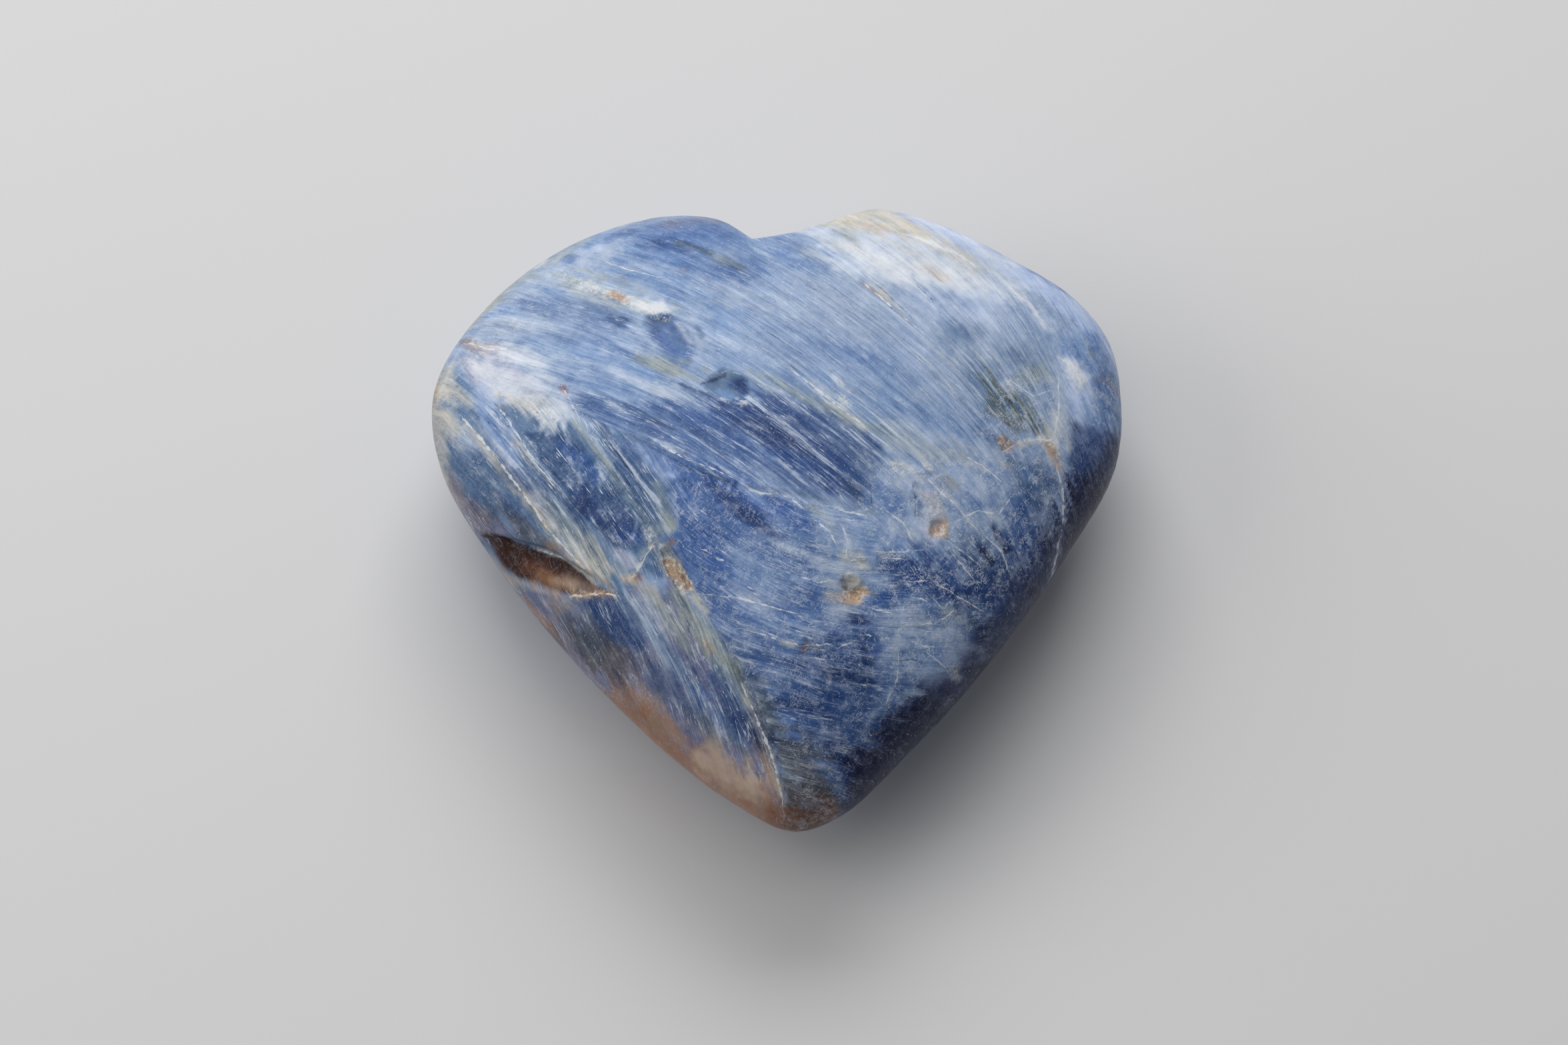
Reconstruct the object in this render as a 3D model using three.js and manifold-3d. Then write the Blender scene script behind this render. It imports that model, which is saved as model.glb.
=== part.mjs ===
/**
 * A heart-shaped palm stone of blue kyanite: one solid, polished all round.
 *
 * Millimetres, +Z up. The stone lies on its back on z = 0 with its crown up, the lobes and the
 * notch towards +Y and the tip towards -Y. The origin is under the middle of its bounding box.
 */

import * as THREE from 'three';
import { mergeVertices } from 'three/addons/utils/BufferGeometryUtils.js';
import Module from 'manifold-3d';

const wasm = await Module();
wasm.setup();

// ---- Driving dimensions ----------------------------------------------------------------------

// Side view: a rounded edge (the girdle) between a domed crown and a domed underside.
const GIRDLE_HEIGHT = 11.5;
const CROWN_RISE = 13.0;
const UNDERSIDE_DROP = 12.3;

// The section is a superellipse of this power: 2 is an ellipse, more is fuller.
const FULLNESS = 2.15;

// Plan view: level curves run from the heart outline at the girdle to an ellipse at the crown.
const CENTRE = new THREE.Vector2(0.0, 2.6);
const CORE_HALF_WIDTH = 24.0;
const CORE_HALF_LENGTH = 22.0;
const OUTLINE_FADE = 1.5;

// The heart outline, anticlockwise from the right side.
const OUTLINE = [
  [31.0, 8.6], [30.5, 13.9], [27.6, 18.5], [22.8, 22.3], [16.8, 26.2], [10.6, 28.4],
  [5.0, 28.1], [-0.8, 27.4], [-5.1, 28.8], [-10.0, 29.1], [-17.9, 26.9], [-25.4, 21.7],
  [-30.5, 14.3], [-30.4, 6.8], [-26.2, -2.2], [-20.0, -11.6], [-12.4, -20.8], [-6.8, -26.0],
  [-1.7, -29.1], [2.6, -28.1], [9.0, -22.9], [16.2, -15.9], [24.6, -5.8], [29.8, 2.0],
];

// The notch is a V groove ground straight down through the edge, steeper on the left.
const NOTCH_WALLS = [
  [-5.9, 30.2], [-3.0, 26.9], [-1.1, 24.2], [2.8, 24.6], [6.0, 25.7], [9.0, 27.2], [12.5, 29.4],
];
const NOTCH_MOUTH = 36.0;

// Ledges: the edge where a cleavage blade broke off, the far side of the break, and its depth
// below the polished surface at the edge. Each row is edge x, y, far x, y, depth.
const BROWN_HOLLOW = [
  [-27.3, -0.4, -27.1, -0.9, 0.15],
  [-25.3, -1.7, -25.6, -3.1, 0.9],
  [-23.0, -3.0, -23.8, -5.3, 1.3],
  [-20.8, -4.4, -21.8, -7.2, 1.3],
  [-18.6, -6.3, -19.4, -8.4, 1.0],
  [-15.8, -8.4, -16.2, -9.1, 0.3],
];
const LEFT_BLADE = [
  [-18.6, 5.4, -20.6, 4.0, 0.15],
  [-15.6, 2.4, -19.0, 0.6, 0.32],
  [-13.0, -1.6, -16.9, -3.2, 0.36],
  [-11.6, -4.4, -14.6, -6.4, 0.36],
  [-11.8, -5.6, -13.0, -6.8, 0.2],
];
const CENTRE_STEP = [
  [-12.8, 4.0, -13.4, 2.6, 0.15],
  [-8.8, 0.9, -10.4, -2.2, 0.3],
  [-4.0, -1.5, -6.0, -5.0, 0.35],
  [1.0, -2.8, -0.8, -6.2, 0.32],
  [6.0, -4.2, 5.2, -6.0, 0.15],
];

// The foot of a ledge lies this share of the way from its edge to its far side.
const FOOT_SHARE = 0.08;

// Pits and dents: x, y, length, width, depth, and the turn of the length from +X.
const PITS = [
  { x: 5.0, y: -11.1, length: 2.8, width: 2.4, depth: 0.8, turn: -20 },
  { x: -10.1, y: -8.1, length: 4.8, width: 1.7, depth: 0.6, turn: -66 },
  { x: 12.7, y: -6.1, length: 2.0, width: 1.5, depth: 0.45, turn: 60 },
  { x: -4.3, y: 7.3, length: 4.2, width: 2.5, depth: 0.45, turn: -12 },
  { x: -9.0, y: 13.2, length: 5.4, width: 2.4, depth: 0.35, turn: -55 },
];

// Mesh fineness.
const BODY_DETAIL = 18;
const PIT_DETAIL = 2;
const OUTLINE_SAMPLES = 480;
const LEDGE_STEPS = 4;
const CUTTER_RISE = 1.0;
const SOLVER_STEPS = 32;

// ---- The polished form -----------------------------------------------------------------------

const FULL_TURN = 2 * Math.PI;
const outlineCurve = new THREE.CatmullRomCurve3(
  OUTLINE.map(([x, y]) => new THREE.Vector3(x, y, 0)),
  true,
  'centripetal',
);
const rim = outlineCurve.getSpacedPoints(OUTLINE_SAMPLES)
  .slice(0, -1)
  .map((point) => ({
    bearing: Math.atan2(point.y - CENTRE.y, point.x - CENTRE.x),
    reach: Math.hypot(point.x - CENTRE.x, point.y - CENTRE.y),
  }))
  .sort((a, b) => a.bearing - b.bearing);

/** Distance from the centre to the heart outline in one direction. */
function outlineReach(bearing) {
  const next = Math.max(rim.findIndex((sample) => sample.bearing > bearing), 0);
  const before = rim.at(next - 1);
  const after = rim[next];
  const span = THREE.MathUtils.euclideanModulo(after.bearing - before.bearing, FULL_TURN);
  const along = THREE.MathUtils.euclideanModulo(bearing - before.bearing, FULL_TURN);
  return THREE.MathUtils.lerp(before.reach, after.reach, along / span);
}

/** Distance from the centre to the inner ellipse in one direction. */
function coreReach(bearing) {
  const across = Math.cos(bearing) / CORE_HALF_WIDTH;
  const along = Math.sin(bearing) / CORE_HALF_LENGTH;
  return 1 / Math.hypot(across, along);
}

/** Radius of the level curve that is a given fraction of the way out, from 0 to 1 at the girdle. */
function levelRadius(bearing, fraction) {
  const share = fraction ** OUTLINE_FADE;
  return fraction * THREE.MathUtils.lerp(coreReach(bearing), outlineReach(bearing), share);
}

/** Height over the girdle of that level curve, as a share of the dome's rise. */
function levelRise(fraction) {
  return (1 - fraction ** FULLNESS) ** (1 / FULLNESS);
}

/** The point of the crown above a place in plan. */
function onCrown(x, y) {
  const bearing = Math.atan2(y - CENTRE.y, x - CENTRE.x);
  const radius = Math.hypot(x - CENTRE.x, y - CENTRE.y);
  let inside = 0;
  let outside = 1;
  for (let step = 0; step < SOLVER_STEPS; step += 1) {
    const middle = (inside + outside) / 2;
    if (levelRadius(bearing, middle) < radius) {
      inside = middle;
    } else {
      outside = middle;
    }
  }
  return new THREE.Vector3(x, y, GIRDLE_HEIGHT + CROWN_RISE * levelRise(inside));
}

/** The outward direction of the crown above a place in plan. */
function crownNormal(x, y) {
  const reach = 0.05;
  const alongX = onCrown(x + reach, y).sub(onCrown(x - reach, y));
  const alongY = onCrown(x, y + reach).sub(onCrown(x, y - reach));
  return alongX.cross(alongY).normalize();
}

/** Closed position-only mesh whose shared corners are merged. */
function weld(geometry) {
  geometry.deleteAttribute('normal');
  geometry.deleteAttribute('uv');
  return mergeVertices(geometry);
}

/** The whole domed form: an even sphere mesh, each corner moved out to the stone's surface. */
function domedForm() {
  const geometry = weld(new THREE.IcosahedronGeometry(1, BODY_DETAIL));
  const position = geometry.attributes.position;
  const direction = new THREE.Vector3();
  for (let i = 0; i < position.count; i += 1) {
    direction.fromBufferAttribute(position, i);
    const bearing = Math.atan2(direction.y, direction.x);
    const fraction = Math.max(1 - direction.z ** 2, 0) ** (1 / FULLNESS);
    const radius = levelRadius(bearing, fraction);
    const dome = direction.z > 0 ? CROWN_RISE : -UNDERSIDE_DROP;
    position.setXYZ(
      i,
      CENTRE.x + radius * Math.cos(bearing),
      CENTRE.y + radius * Math.sin(bearing),
      GIRDLE_HEIGHT + dome * levelRise(fraction),
    );
  }
  return geometry;
}

// ---- Cutters ---------------------------------------------------------------------------------

/** Everything under the resting plane, which leaves a flat facet on the back. */
function belowRest() {
  const size = 80;
  const geometry = new THREE.BoxGeometry(size, size, size);
  geometry.translate(0, 0, -size / 2);
  return weld(geometry);
}

/** The upright V prism of the notch. */
function notch() {
  const [left] = NOTCH_WALLS.at(0);
  const [right] = NOTCH_WALLS.at(-1);
  const corners = [[left, NOTCH_MOUTH], ...NOTCH_WALLS, [right, NOTCH_MOUTH]];
  const plan = new THREE.Shape(corners.map(([x, y]) => new THREE.Vector2(x, y)));
  const height = 2 * (GIRDLE_HEIGHT + CROWN_RISE);
  const geometry = new THREE.ExtrudeGeometry(plan, { depth: height, bevelEnabled: false });
  geometry.translate(0, 0, GIRDLE_HEIGHT - height / 2);
  return weld(geometry);
}

/** A solid through a row of four-cornered sections, closed at both ends. */
function loft(sections) {
  const corners = sections[0].length;
  const last = (sections.length - 1) * corners;
  const faces = [];
  for (let row = 0; row < last; row += corners) {
    for (let i = 0; i < corners; i += 1) {
      const a = row + i;
      const b = row + ((i + 1) % corners);
      faces.push(a, b + corners, b, a, a + corners, b + corners);
    }
  }
  for (let i = 1; i < corners - 1; i += 1) {
    faces.push(0, i, i + 1, last, last + i + 1, last + i);
  }
  const geometry = new THREE.BufferGeometry().setFromPoints(sections.flat());
  geometry.setIndex(faces);
  return geometry;
}

/** What broke away at a ledge: steep below its edge, then sloping out to the far side. */
function ledge(rows) {
  const edges = new THREE.CatmullRomCurve3(rows.map(([x, y]) => new THREE.Vector3(x, y, 0)));
  const fars = new THREE.CatmullRomCurve3(rows.map(([, , x, y]) => new THREE.Vector3(x, y, 0)));
  const depths = new THREE.SplineCurve(rows.map((row, i) => new THREE.Vector2(i, row.at(-1))));
  const steps = (rows.length - 1) * LEDGE_STEPS;
  return loft(Array.from({ length: steps + 1 }, (_, step) => {
    const edgePlan = edges.getPoint(step / steps);
    const farPlan = fars.getPoint(step / steps);
    const depth = depths.getPoint(step / steps).y;
    const edge = onCrown(edgePlan.x, edgePlan.y);
    const far = onCrown(farPlan.x, farPlan.y);
    const up = crownNormal(edgePlan.x, edgePlan.y);
    const foot = edge.clone().lerp(far, FOOT_SHARE).addScaledVector(up, -depth);
    return [
      edge.clone().addScaledVector(up, CUTTER_RISE),
      foot,
      far,
      far.clone().addScaledVector(crownNormal(farPlan.x, farPlan.y), CUTTER_RISE),
    ];
  }));
}

/** An ellipsoid that sinks into the crown to the pit's depth. */
function pit({ x, y, length, width, depth, turn }) {
  const geometry = weld(new THREE.IcosahedronGeometry(1, PIT_DETAIL));
  geometry.scale(length / 2, width / 2, depth);
  geometry.rotateZ(THREE.MathUtils.degToRad(turn));
  const tilt = new THREE.Quaternion().setFromUnitVectors(
    new THREE.Vector3(0, 0, 1),
    crownNormal(x, y),
  );
  geometry.applyQuaternion(tilt);
  const seat = onCrown(x, y);
  geometry.translate(seat.x, seat.y, seat.z);
  return geometry;
}

// ---- Joining and cutting ---------------------------------------------------------------------

function solidOf(geometry) {
  const mesh = new wasm.Mesh({
    numProp: 3,
    vertProperties: Float32Array.from(geometry.attributes.position.array),
    triVerts: Uint32Array.from(geometry.index.array),
  });
  return new wasm.Manifold(mesh);
}

function geometryOf(solid) {
  const mesh = solid.getMesh();
  const geometry = new THREE.BufferGeometry();
  geometry.setAttribute('position', new THREE.BufferAttribute(mesh.vertProperties, 3));
  geometry.setIndex(new THREE.BufferAttribute(mesh.triVerts, 1));
  geometry.computeVertexNormals();
  return geometry;
}

function stoneGeometry() {
  const cutters = [
    belowRest(),
    notch(),
    ...[BROWN_HOLLOW, LEFT_BLADE, CENTRE_STEP].map(ledge),
    ...PITS.map(pit),
  ];
  const whole = solidOf(domedForm());
  return geometryOf(cutters.reduce((stone, cutter) => stone.subtract(solidOf(cutter)), whole));
}

// ---- The stone -------------------------------------------------------------------------------

const polishedKyanite = new THREE.MeshStandardMaterial({
  color: 0x5b78a8,
  roughness: 0.35,
  metalness: 0,
});

const stone = new THREE.Mesh(stoneGeometry(), polishedKyanite);
stone.name = 'kyanite_heart';

const part = new THREE.Group();
part.add(stone);

export default part;
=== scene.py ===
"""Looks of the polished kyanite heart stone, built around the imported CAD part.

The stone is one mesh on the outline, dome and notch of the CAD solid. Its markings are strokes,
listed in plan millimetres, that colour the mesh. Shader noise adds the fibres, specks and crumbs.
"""

import math

import bpy
import numpy as np
from mathutils import Matrix, Vector


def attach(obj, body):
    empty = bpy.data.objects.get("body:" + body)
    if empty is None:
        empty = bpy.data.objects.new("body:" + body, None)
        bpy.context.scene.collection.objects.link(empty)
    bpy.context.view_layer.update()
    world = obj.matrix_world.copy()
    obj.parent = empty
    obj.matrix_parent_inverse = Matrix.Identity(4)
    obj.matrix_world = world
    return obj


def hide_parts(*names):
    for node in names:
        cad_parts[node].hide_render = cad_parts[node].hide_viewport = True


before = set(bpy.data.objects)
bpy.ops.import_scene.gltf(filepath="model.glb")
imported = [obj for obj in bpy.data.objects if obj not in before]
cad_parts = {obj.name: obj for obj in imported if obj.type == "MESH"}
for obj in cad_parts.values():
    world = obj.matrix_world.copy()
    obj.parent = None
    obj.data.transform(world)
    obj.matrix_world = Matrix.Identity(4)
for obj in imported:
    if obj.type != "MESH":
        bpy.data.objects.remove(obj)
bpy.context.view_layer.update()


# ---------------------------------------------------------------- reading the listed rows
def points(text):
    """The numbers of each part between commas, as a list of tuples."""
    return [tuple(float(word) for word in part.split()) for part in text.split(",")]


def rows(text):
    """One row a line, split at its colons.

    A line that ends with a comma goes on in the next, and one that starts with # is a heading.
    """
    for line in text.strip().replace(",\n", ", ").splitlines():
        if not line.startswith("#"):
            yield [part.strip() for part in line.split(":")]


# ---------------------------------------------------------------- shape, as in the CAD source (mm)
GIRDLE_HEIGHT = 11.5
CROWN_RISE = 13.0
UNDERSIDE_DROP = 12.3
FULLNESS = 2.15
CENTRE = (0.0, 2.6)
CORE_HALF_WIDTH = 24.0
CORE_HALF_LENGTH = 22.0
OUTLINE_FADE = 1.5
OUTLINE = points("""31 8.6, 30.5 13.9, 27.6 18.5, 22.8 22.3, 16.8 26.2, 10.6 28.4, 5 28.1, -.8 27.4,
-5.1 28.8, -10 29.1, -17.9 26.9, -25.4 21.7, -30.5 14.3, -30.4 6.8, -26.2 -2.2, -20 -11.6,
-12.4 -20.8, -6.8 -26, -1.7 -29.1, 2.6 -28.1, 9 -22.9, 16.2 -15.9, 24.6 -5.8, 29.8 2""")
NOTCH_WALLS = points("-5.9 30.2, -3 26.9, -1.1 24.2, 2.8 24.6, 6 25.7, 9 27.2, 12.5 29.4")
NOTCH_SOFTNESS = 0.35
NO_WALL = 99.0            # stands for a notch wall that is nowhere near

# Ledges: upper edge x, y, far edge x, y, depth
BROWN_HOLLOW = points("""-27.3 -.4 -27.1 -.9 .15, -25.3 -1.7 -25.6 -3.1 .9,
-23 -3 -23.8 -5.3 1.3, -20.8 -4.4 -21.8 -7.2 1.3, -18.6 -6.3 -19.4 -8.4 1,
-15.8 -8.4 -16.2 -9.1 .3""")
LEFT_BLADE = points("""-18.6 5.4 -20.6 4 .15, -15.6 2.4 -19 .6 .32, -13 -1.6 -16.9 -3.2 .36,
-11.6 -4.4 -14.6 -6.4 .36, -11.8 -5.6 -13 -6.8 .2""")
CENTRE_STEP = points("""-12.8 4 -13.4 2.6 .15, -8.8 .9 -10.4 -2.2 .3, -4 -1.5 -6 -5 .35,
1 -2.8 -.8 -6.2 .32, 6 -4.2 5.2 -6 .15""")
# Pits: x, y, length, width, depth, turn in degrees. The last two are a little larger than in the CAD.
PITS = points("""5 -11.1 2.8 2.4 .8 -20, -10.1 -8.1 4.8 1.7 .6 -66, 12.7 -6.1 2 1.5 .45 60,
-4.4 7.6 4.7 2.9 .5 -20, -9.1 13.2 5.8 2.6 .4 -58""")

# ---------------------------------------------------------------- mesh
FACE_CELLS = 128          # quads along one edge of the starting cube
CROWN_SHARE = 0.6         # below 1, more of the quads lie on the crown
OUTLINE_STEPS = 24        # points from one outline corner to the next
LEDGE_STEPS = 10          # and from one row of a ledge to the next
TINY = 1e-9


def closed_curve(corners, per_span):
    """Closed centripetal Catmull-Rom curve through the corners."""
    p = np.asarray(corners, float)
    count = len(p)
    out = []
    for i in range(count):
        p0, p1, p2, p3 = p[i - 1], p[i], p[(i + 1) % count], p[(i + 2) % count]
        d0, d1, d2 = (math.sqrt(np.hypot(*(b - a))) for a, b in ((p0, p1), (p1, p2), (p2, p3)))
        m1 = ((p1 - p0) / d0 - (p2 - p0) / (d0 + d1) + (p2 - p1) / d1) * d1
        m2 = ((p2 - p1) / d1 - (p3 - p1) / (d1 + d2) + (p3 - p2) / d2) * d1
        t = np.linspace(0, 1, per_span, endpoint=False)[:, None]
        out.append(
            p1 + m1 * t + (3 * (p2 - p1) - 2 * m1 - m2) * t**2 + (2 * (p1 - p2) + m1 + m2) * t**3
        )
    return np.concatenate(out)


def open_curve(table, per_span):
    """Catmull-Rom curve through rows of any length, ends held."""
    p = np.asarray(table, float)
    p = np.vstack([2 * p[0] - p[1], p, 2 * p[-1] - p[-2]])
    out = []
    for i in range(1, len(p) - 2):
        t = np.linspace(0, 1, per_span, endpoint=False)[:, None]
        a, b, c, d = p[i - 1], p[i], p[i + 1], p[i + 2]
        out.append(0.5 * (2 * b + (c - a) * t + (2 * a - 5 * b + 4 * c - d) * t**2
                          + (3 * b - a - 3 * c + d) * t**3))
    return np.vstack(out + [p[-2][None, :]])


def outline_radius(bearing):
    """Distance from the centre to the outline at each bearing."""
    curve = closed_curve(OUTLINE, OUTLINE_STEPS) - CENTRE
    angle = np.arctan2(curve[:, 1], curve[:, 0])
    order = np.argsort(angle)
    return np.interp(bearing, angle[order], np.hypot(*curve.T)[order], period=2 * np.pi)


def notch_radius(bearing):
    """Distance from the centre to the notch walls, far away where there is no wall."""
    reach = np.full(bearing.shape, NO_WALL)
    walls = np.asarray(NOTCH_WALLS) - CENTRE
    ray = np.stack([np.cos(bearing), np.sin(bearing)], -1)
    overlap = 0.02
    for a, b in zip(walls[:-1], walls[1:]):
        along = b - a
        cross = ray[:, 0] * along[1] - ray[:, 1] * along[0]
        cross = np.where(np.abs(cross) < TINY, TINY, cross)
        distance = (a[0] * along[1] - a[1] * along[0]) / cross
        share = (a[0] * ray[:, 1] - a[1] * ray[:, 0]) / cross
        hit = (distance > 0) & (share > -overlap) & (share < 1 + overlap)
        reach = np.where(hit, np.minimum(reach, distance), reach)
    return reach


def stone_surface(direction):
    """The polished surface of the stone, in mm, for unit directions from its middle."""
    bearing = np.arctan2(direction[:, 1], direction[:, 0])
    level = np.clip(1 - direction[:, 2] ** 2, 0, 1) ** (1 / FULLNESS)
    core = 1 / np.hypot(np.cos(bearing) / CORE_HALF_WIDTH, np.sin(bearing) / CORE_HALF_LENGTH)
    share = level**OUTLINE_FADE
    radius = level * (core * (1 - share) + outline_radius(bearing) * share)
    wall = notch_radius(bearing)
    mix = np.clip(0.5 + 0.5 * (wall - radius) / NOTCH_SOFTNESS, 0, 1)
    radius = wall * (1 - mix) + radius * mix - NOTCH_SOFTNESS * mix * (1 - mix)
    rise = np.where(direction[:, 2] > 0, CROWN_RISE, -UNDERSIDE_DROP)
    height = GIRDLE_HEIGHT + rise * np.clip(1 - level**FULLNESS, 0, 1) ** (1 / FULLNESS)
    return np.stack([
        CENTRE[0] + radius * np.cos(bearing),
        CENTRE[1] + radius * np.sin(bearing),
        np.maximum(height, 0.0),
    ], -1)


def cube_sphere(cells):
    """Unit directions and quads of a cube blown up to a sphere, denser towards +Z."""
    ticks = np.tan(np.linspace(-np.pi / 4, np.pi / 4, cells + 1))
    a, b = np.meshgrid(ticks, ticks, indexing="ij")
    one = np.ones_like(a)
    sides = [(one, a, b), (-one, b, a), (b, one, a), (a, -one, b), (a, b, one), (b, a, -one)]
    corners = np.concatenate([np.stack(side, -1).reshape(-1, 3) for side in sides])
    keys = np.round(corners * 1e6).astype(np.int64)
    _, first, index = np.unique(keys, axis=0, return_index=True, return_inverse=True)
    index = index.reshape(6, cells + 1, cells + 1)
    quads = np.stack([index[:, :-1, :-1], index[:, 1:, :-1], index[:, 1:, 1:], index[:, :-1, 1:]], -1)
    unit = corners[first] / np.linalg.norm(corners[first], axis=1, keepdims=True)
    flat = unit[:, :2] / np.maximum(1 + unit[:, 2:], TINY) * CROWN_SHARE
    square = (flat**2).sum(1, keepdims=True)
    dense = np.hstack([2 * flat, 1 - square]) / (1 + square)
    dense[unit[:, 2] < -1 + TINY] = (0, 0, -1)
    return dense, quads.reshape(-1, 4)


def normals_of(place, quads):
    """Unit vertex normals of a quad mesh."""
    cross = np.cross(place[quads[:, 2]] - place[quads[:, 0]], place[quads[:, 3]] - place[quads[:, 1]])
    out = np.zeros_like(place)
    for corner in range(4):
        for axis in range(3):
            out[:, axis] += np.bincount(quads[:, corner], cross[:, axis], len(place))
    return out / np.maximum(np.linalg.norm(out, axis=1, keepdims=True), 1e-12)


# ---------------------------------------------------------------- noise
def smooth(low, high, value):
    """Smooth step from 0 at low to 1 at high."""
    t = np.clip((value - low) / (high - low), 0, 1)
    return t * t * (3 - 2 * t)


def lattice(x, y, z, seed):
    """Hashed value from -1 to 1 at whole-number places."""
    h = (x * 73856093) ^ (y * 19349663) ^ (z * 83492791) ^ (seed * 2654435761)
    h &= 0xFFFFFFFF
    h = ((h ^ (h >> 13)) * 1274126177) & 0xFFFFFFFF
    return ((h ^ (h >> 16)) & 0xFFFF) / 32767.5 - 1


def noise(p, seed):
    """Value noise from -1 to 1, one feature per unit."""
    cell = np.floor(p).astype(np.int64)
    f = p - cell
    f = f * f * (3 - 2 * f)
    total = 0
    for corner in range(8):
        dx, dy, dz = corner & 1, corner >> 1 & 1, corner >> 2
        weight = 1
        for axis, step in enumerate((dx, dy, dz)):
            weight = weight * (f[:, axis] if step else 1 - f[:, axis])
        total = total + weight * lattice(cell[:, 0] + dx, cell[:, 1] + dy, cell[:, 2] + dz, seed)
    return total


def layered(p, seed, octaves=3):
    """Noise with finer, weaker noise on top."""
    total, strength = 0, 1.0
    for octave in range(octaves):
        total = total + strength * noise(p * 2**octave, seed + octave)
        strength *= 0.5
    return total / (2 - 2.0 ** (1 - octaves))


# ---------------------------------------------------------------- fibre directions
# Slope of the crown's fibres, falling to the right, at some x
CROWN_SLOPES = points("""-34 .55, -20 .62, -12 .68, -6 .8, 0 .92, 6 1, 12 1.08, 16 1.3, 20 1.75,
24 2.4, 34 2.6""")
SLOPE_REACH = 34
SLOPE_TICKS = 273
LEFT_MIDDLE = (-120.0, -58.0)     # the left fibres are arcs about this point
LEFT_RADIUS = 115
LOW_MIDDLE = (9.0, 10.0)          # the lower fibres are arcs about this point
LOW_RADIUS = 24
FLANK_SHIFT = 0.6                 # below the girdle the layers dip
DEPTH_SHARE = 0.45                # how fast the fibres change with height


def grain_coordinates(p):
    """Along, across and depth coordinates (mm) of the three families of fibres."""
    x, y, z = p.T
    dip = FLANK_SHIFT * np.maximum(GIRDLE_HEIGHT - z, 0)
    depth = z * DEPTH_SHARE
    ticks = np.linspace(-SLOPE_REACH, SLOPE_REACH, SLOPE_TICKS)
    slope = np.interp(ticks, *np.array(CROWN_SLOPES, float).T)
    step = ticks[1] - ticks[0]
    fall = np.concatenate([[0], np.cumsum((slope[1:] + slope[:-1]) / 2 * step)])
    length = np.sqrt(1 + slope**2)
    run = np.concatenate([[0], np.cumsum((length[1:] + length[:-1]) / 2 * step)])
    crown = np.stack([np.interp(x, ticks, run), y + np.interp(x, ticks, fall) + dip, depth], -1)
    dx, dy = x - LEFT_MIDDLE[0], y - LEFT_MIDDLE[1]
    left = np.stack([np.arctan2(dy, dx) * LEFT_RADIUS, np.hypot(dx, dy) + dip, depth], -1)
    dx, dy = x - LOW_MIDDLE[0], y - LOW_MIDDLE[1]
    low = np.stack([np.arctan2(dx, -dy) * LOW_RADIUS, np.hypot(dx, dy) + dip, depth], -1)
    return crown, left, low


# ---------------------------------------------------------------- palette, sRGB
PALETTE = {name: points(colour)[0] for name, colour in rows("""
field: 140 162 196
haze: 174 188 210
pale: 208 217 231
milk: 230 234 240
cream: 212 206 192
peach: 206 184 166
periwinkle: 184 202 238
sky: 109 142 190
mid: 73 104 158
steel: 92 120 154
slate: 68 95 134
royal: 54 92 158
deep: 42 70 122
navy: 28 46 90
ink: 10 20 60
lilac: 188 190 208
violet: 106 104 134
mauve: 128 116 130
beige: 184 180 174
moss: 150 160 158
olive: 98 108 100
smoke: 86 88 94
umber: 58 30 20
sienna: 124 80 54
rust: 176 120 80
ochre: 186 150 110
tan: 172 126 98
ember: 172 84 66
chalk: 238 236 228
""")}

# ---------------------------------------------------------------- areas and strokes
# All of these are given in plan millimetres. An area is its corners, each x y. A line
# is its points, each x y half-width, and a line of one point is a dot.

# Areas and lines with a name, most of them used more than once
# the lower left flank, where the stone's tan is warmed by a painted warm reflection
# the lower right flank, where painted shade lies over the deep blue stone
SHARED = {name: points(shape) for name, shape in rows("""
left_fibres: -36 20, -27 18, -23.6 10, -20 9.2, -17.6 7.2, -15 5.2, -12 3.4, -9.7 .6, -9.5 -5,
-8.5 -11, -6 -15, -3.6 -20, -2.4 -25, -2 -36, -36 -36
low_fibres: -9.6 .4, -7 -.2, -4.2 -1.6, 0 -3.1, 3.3 -4.2, 7 -4.6, 8 -8, 12 -11, 24 -12, 24 -36,
-1.6 -36, -2.2 -24, -5.6 -15.6, -8.8 -10.4
mottled_right: 7 -4.2, 7.4 -1.2, 10 -.6, 14 .4, 20 1.4, 24 2.8, 25 9, 26 13, 36 16, 36 -16, 22 -14,
13 -12, 8 -8.6
dark_flank: 26.6 .4, 23.4 -5.2, 19.4 -9.8, 16.2 -13.6, 12.2 -17.2, 8.4 -20.6, 5.4 -22.8, 3 -25.6,
3 -36, 36 -36, 36 -2
broken_blade: -22.8 7, -18.6 5, -14 0, -12 -5.4, -13.4 -6.4, -17 -3, -19 -.4, -23 5.6
tan_flank: -36 -13, -16 -16.5, -12 -19, -6 -24.4, -2.4 -27, -2.4 -36, -36 -36
hollow: -27 -.6, -21 -5, -16 -8.8, -19 -8.4, -24 -5.2
middle_dent: -6.6 8.1, -4.6 9.5, -3.3 8.8, -2.3 7.6, -2.8 6.2, -5 6.5
upper_dent: -10.6 15.5, -9 15.4, -7.6 12.7, -7.6 10.6, -9.1 11.6, -10.6 13.8
dark_blade: -5.8 -2 .6, -3.4 -4.4 .9, -1.4 -6.4 .4
right_pit: 12.3 -6.1 .4, 13.1 -6.1 .5
""")}


def shape_of(text):
    """A shape by its name, or from its points."""
    return SHARED[text] if text in SHARED else points(text)


def layers(text):
    """Painted shapes. Each row is a colour, how strongly it covers, the edge's width, and a shape."""
    out = []
    for look, shape in rows(text):
        name, strength, edge = look.split()
        out.append((name, float(strength), float(edge), shape_of(shape)))
    return out


def lines(text):
    """Thin lines, each a list of points."""
    return [points(row) for (row,) in rows(text)]


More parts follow.
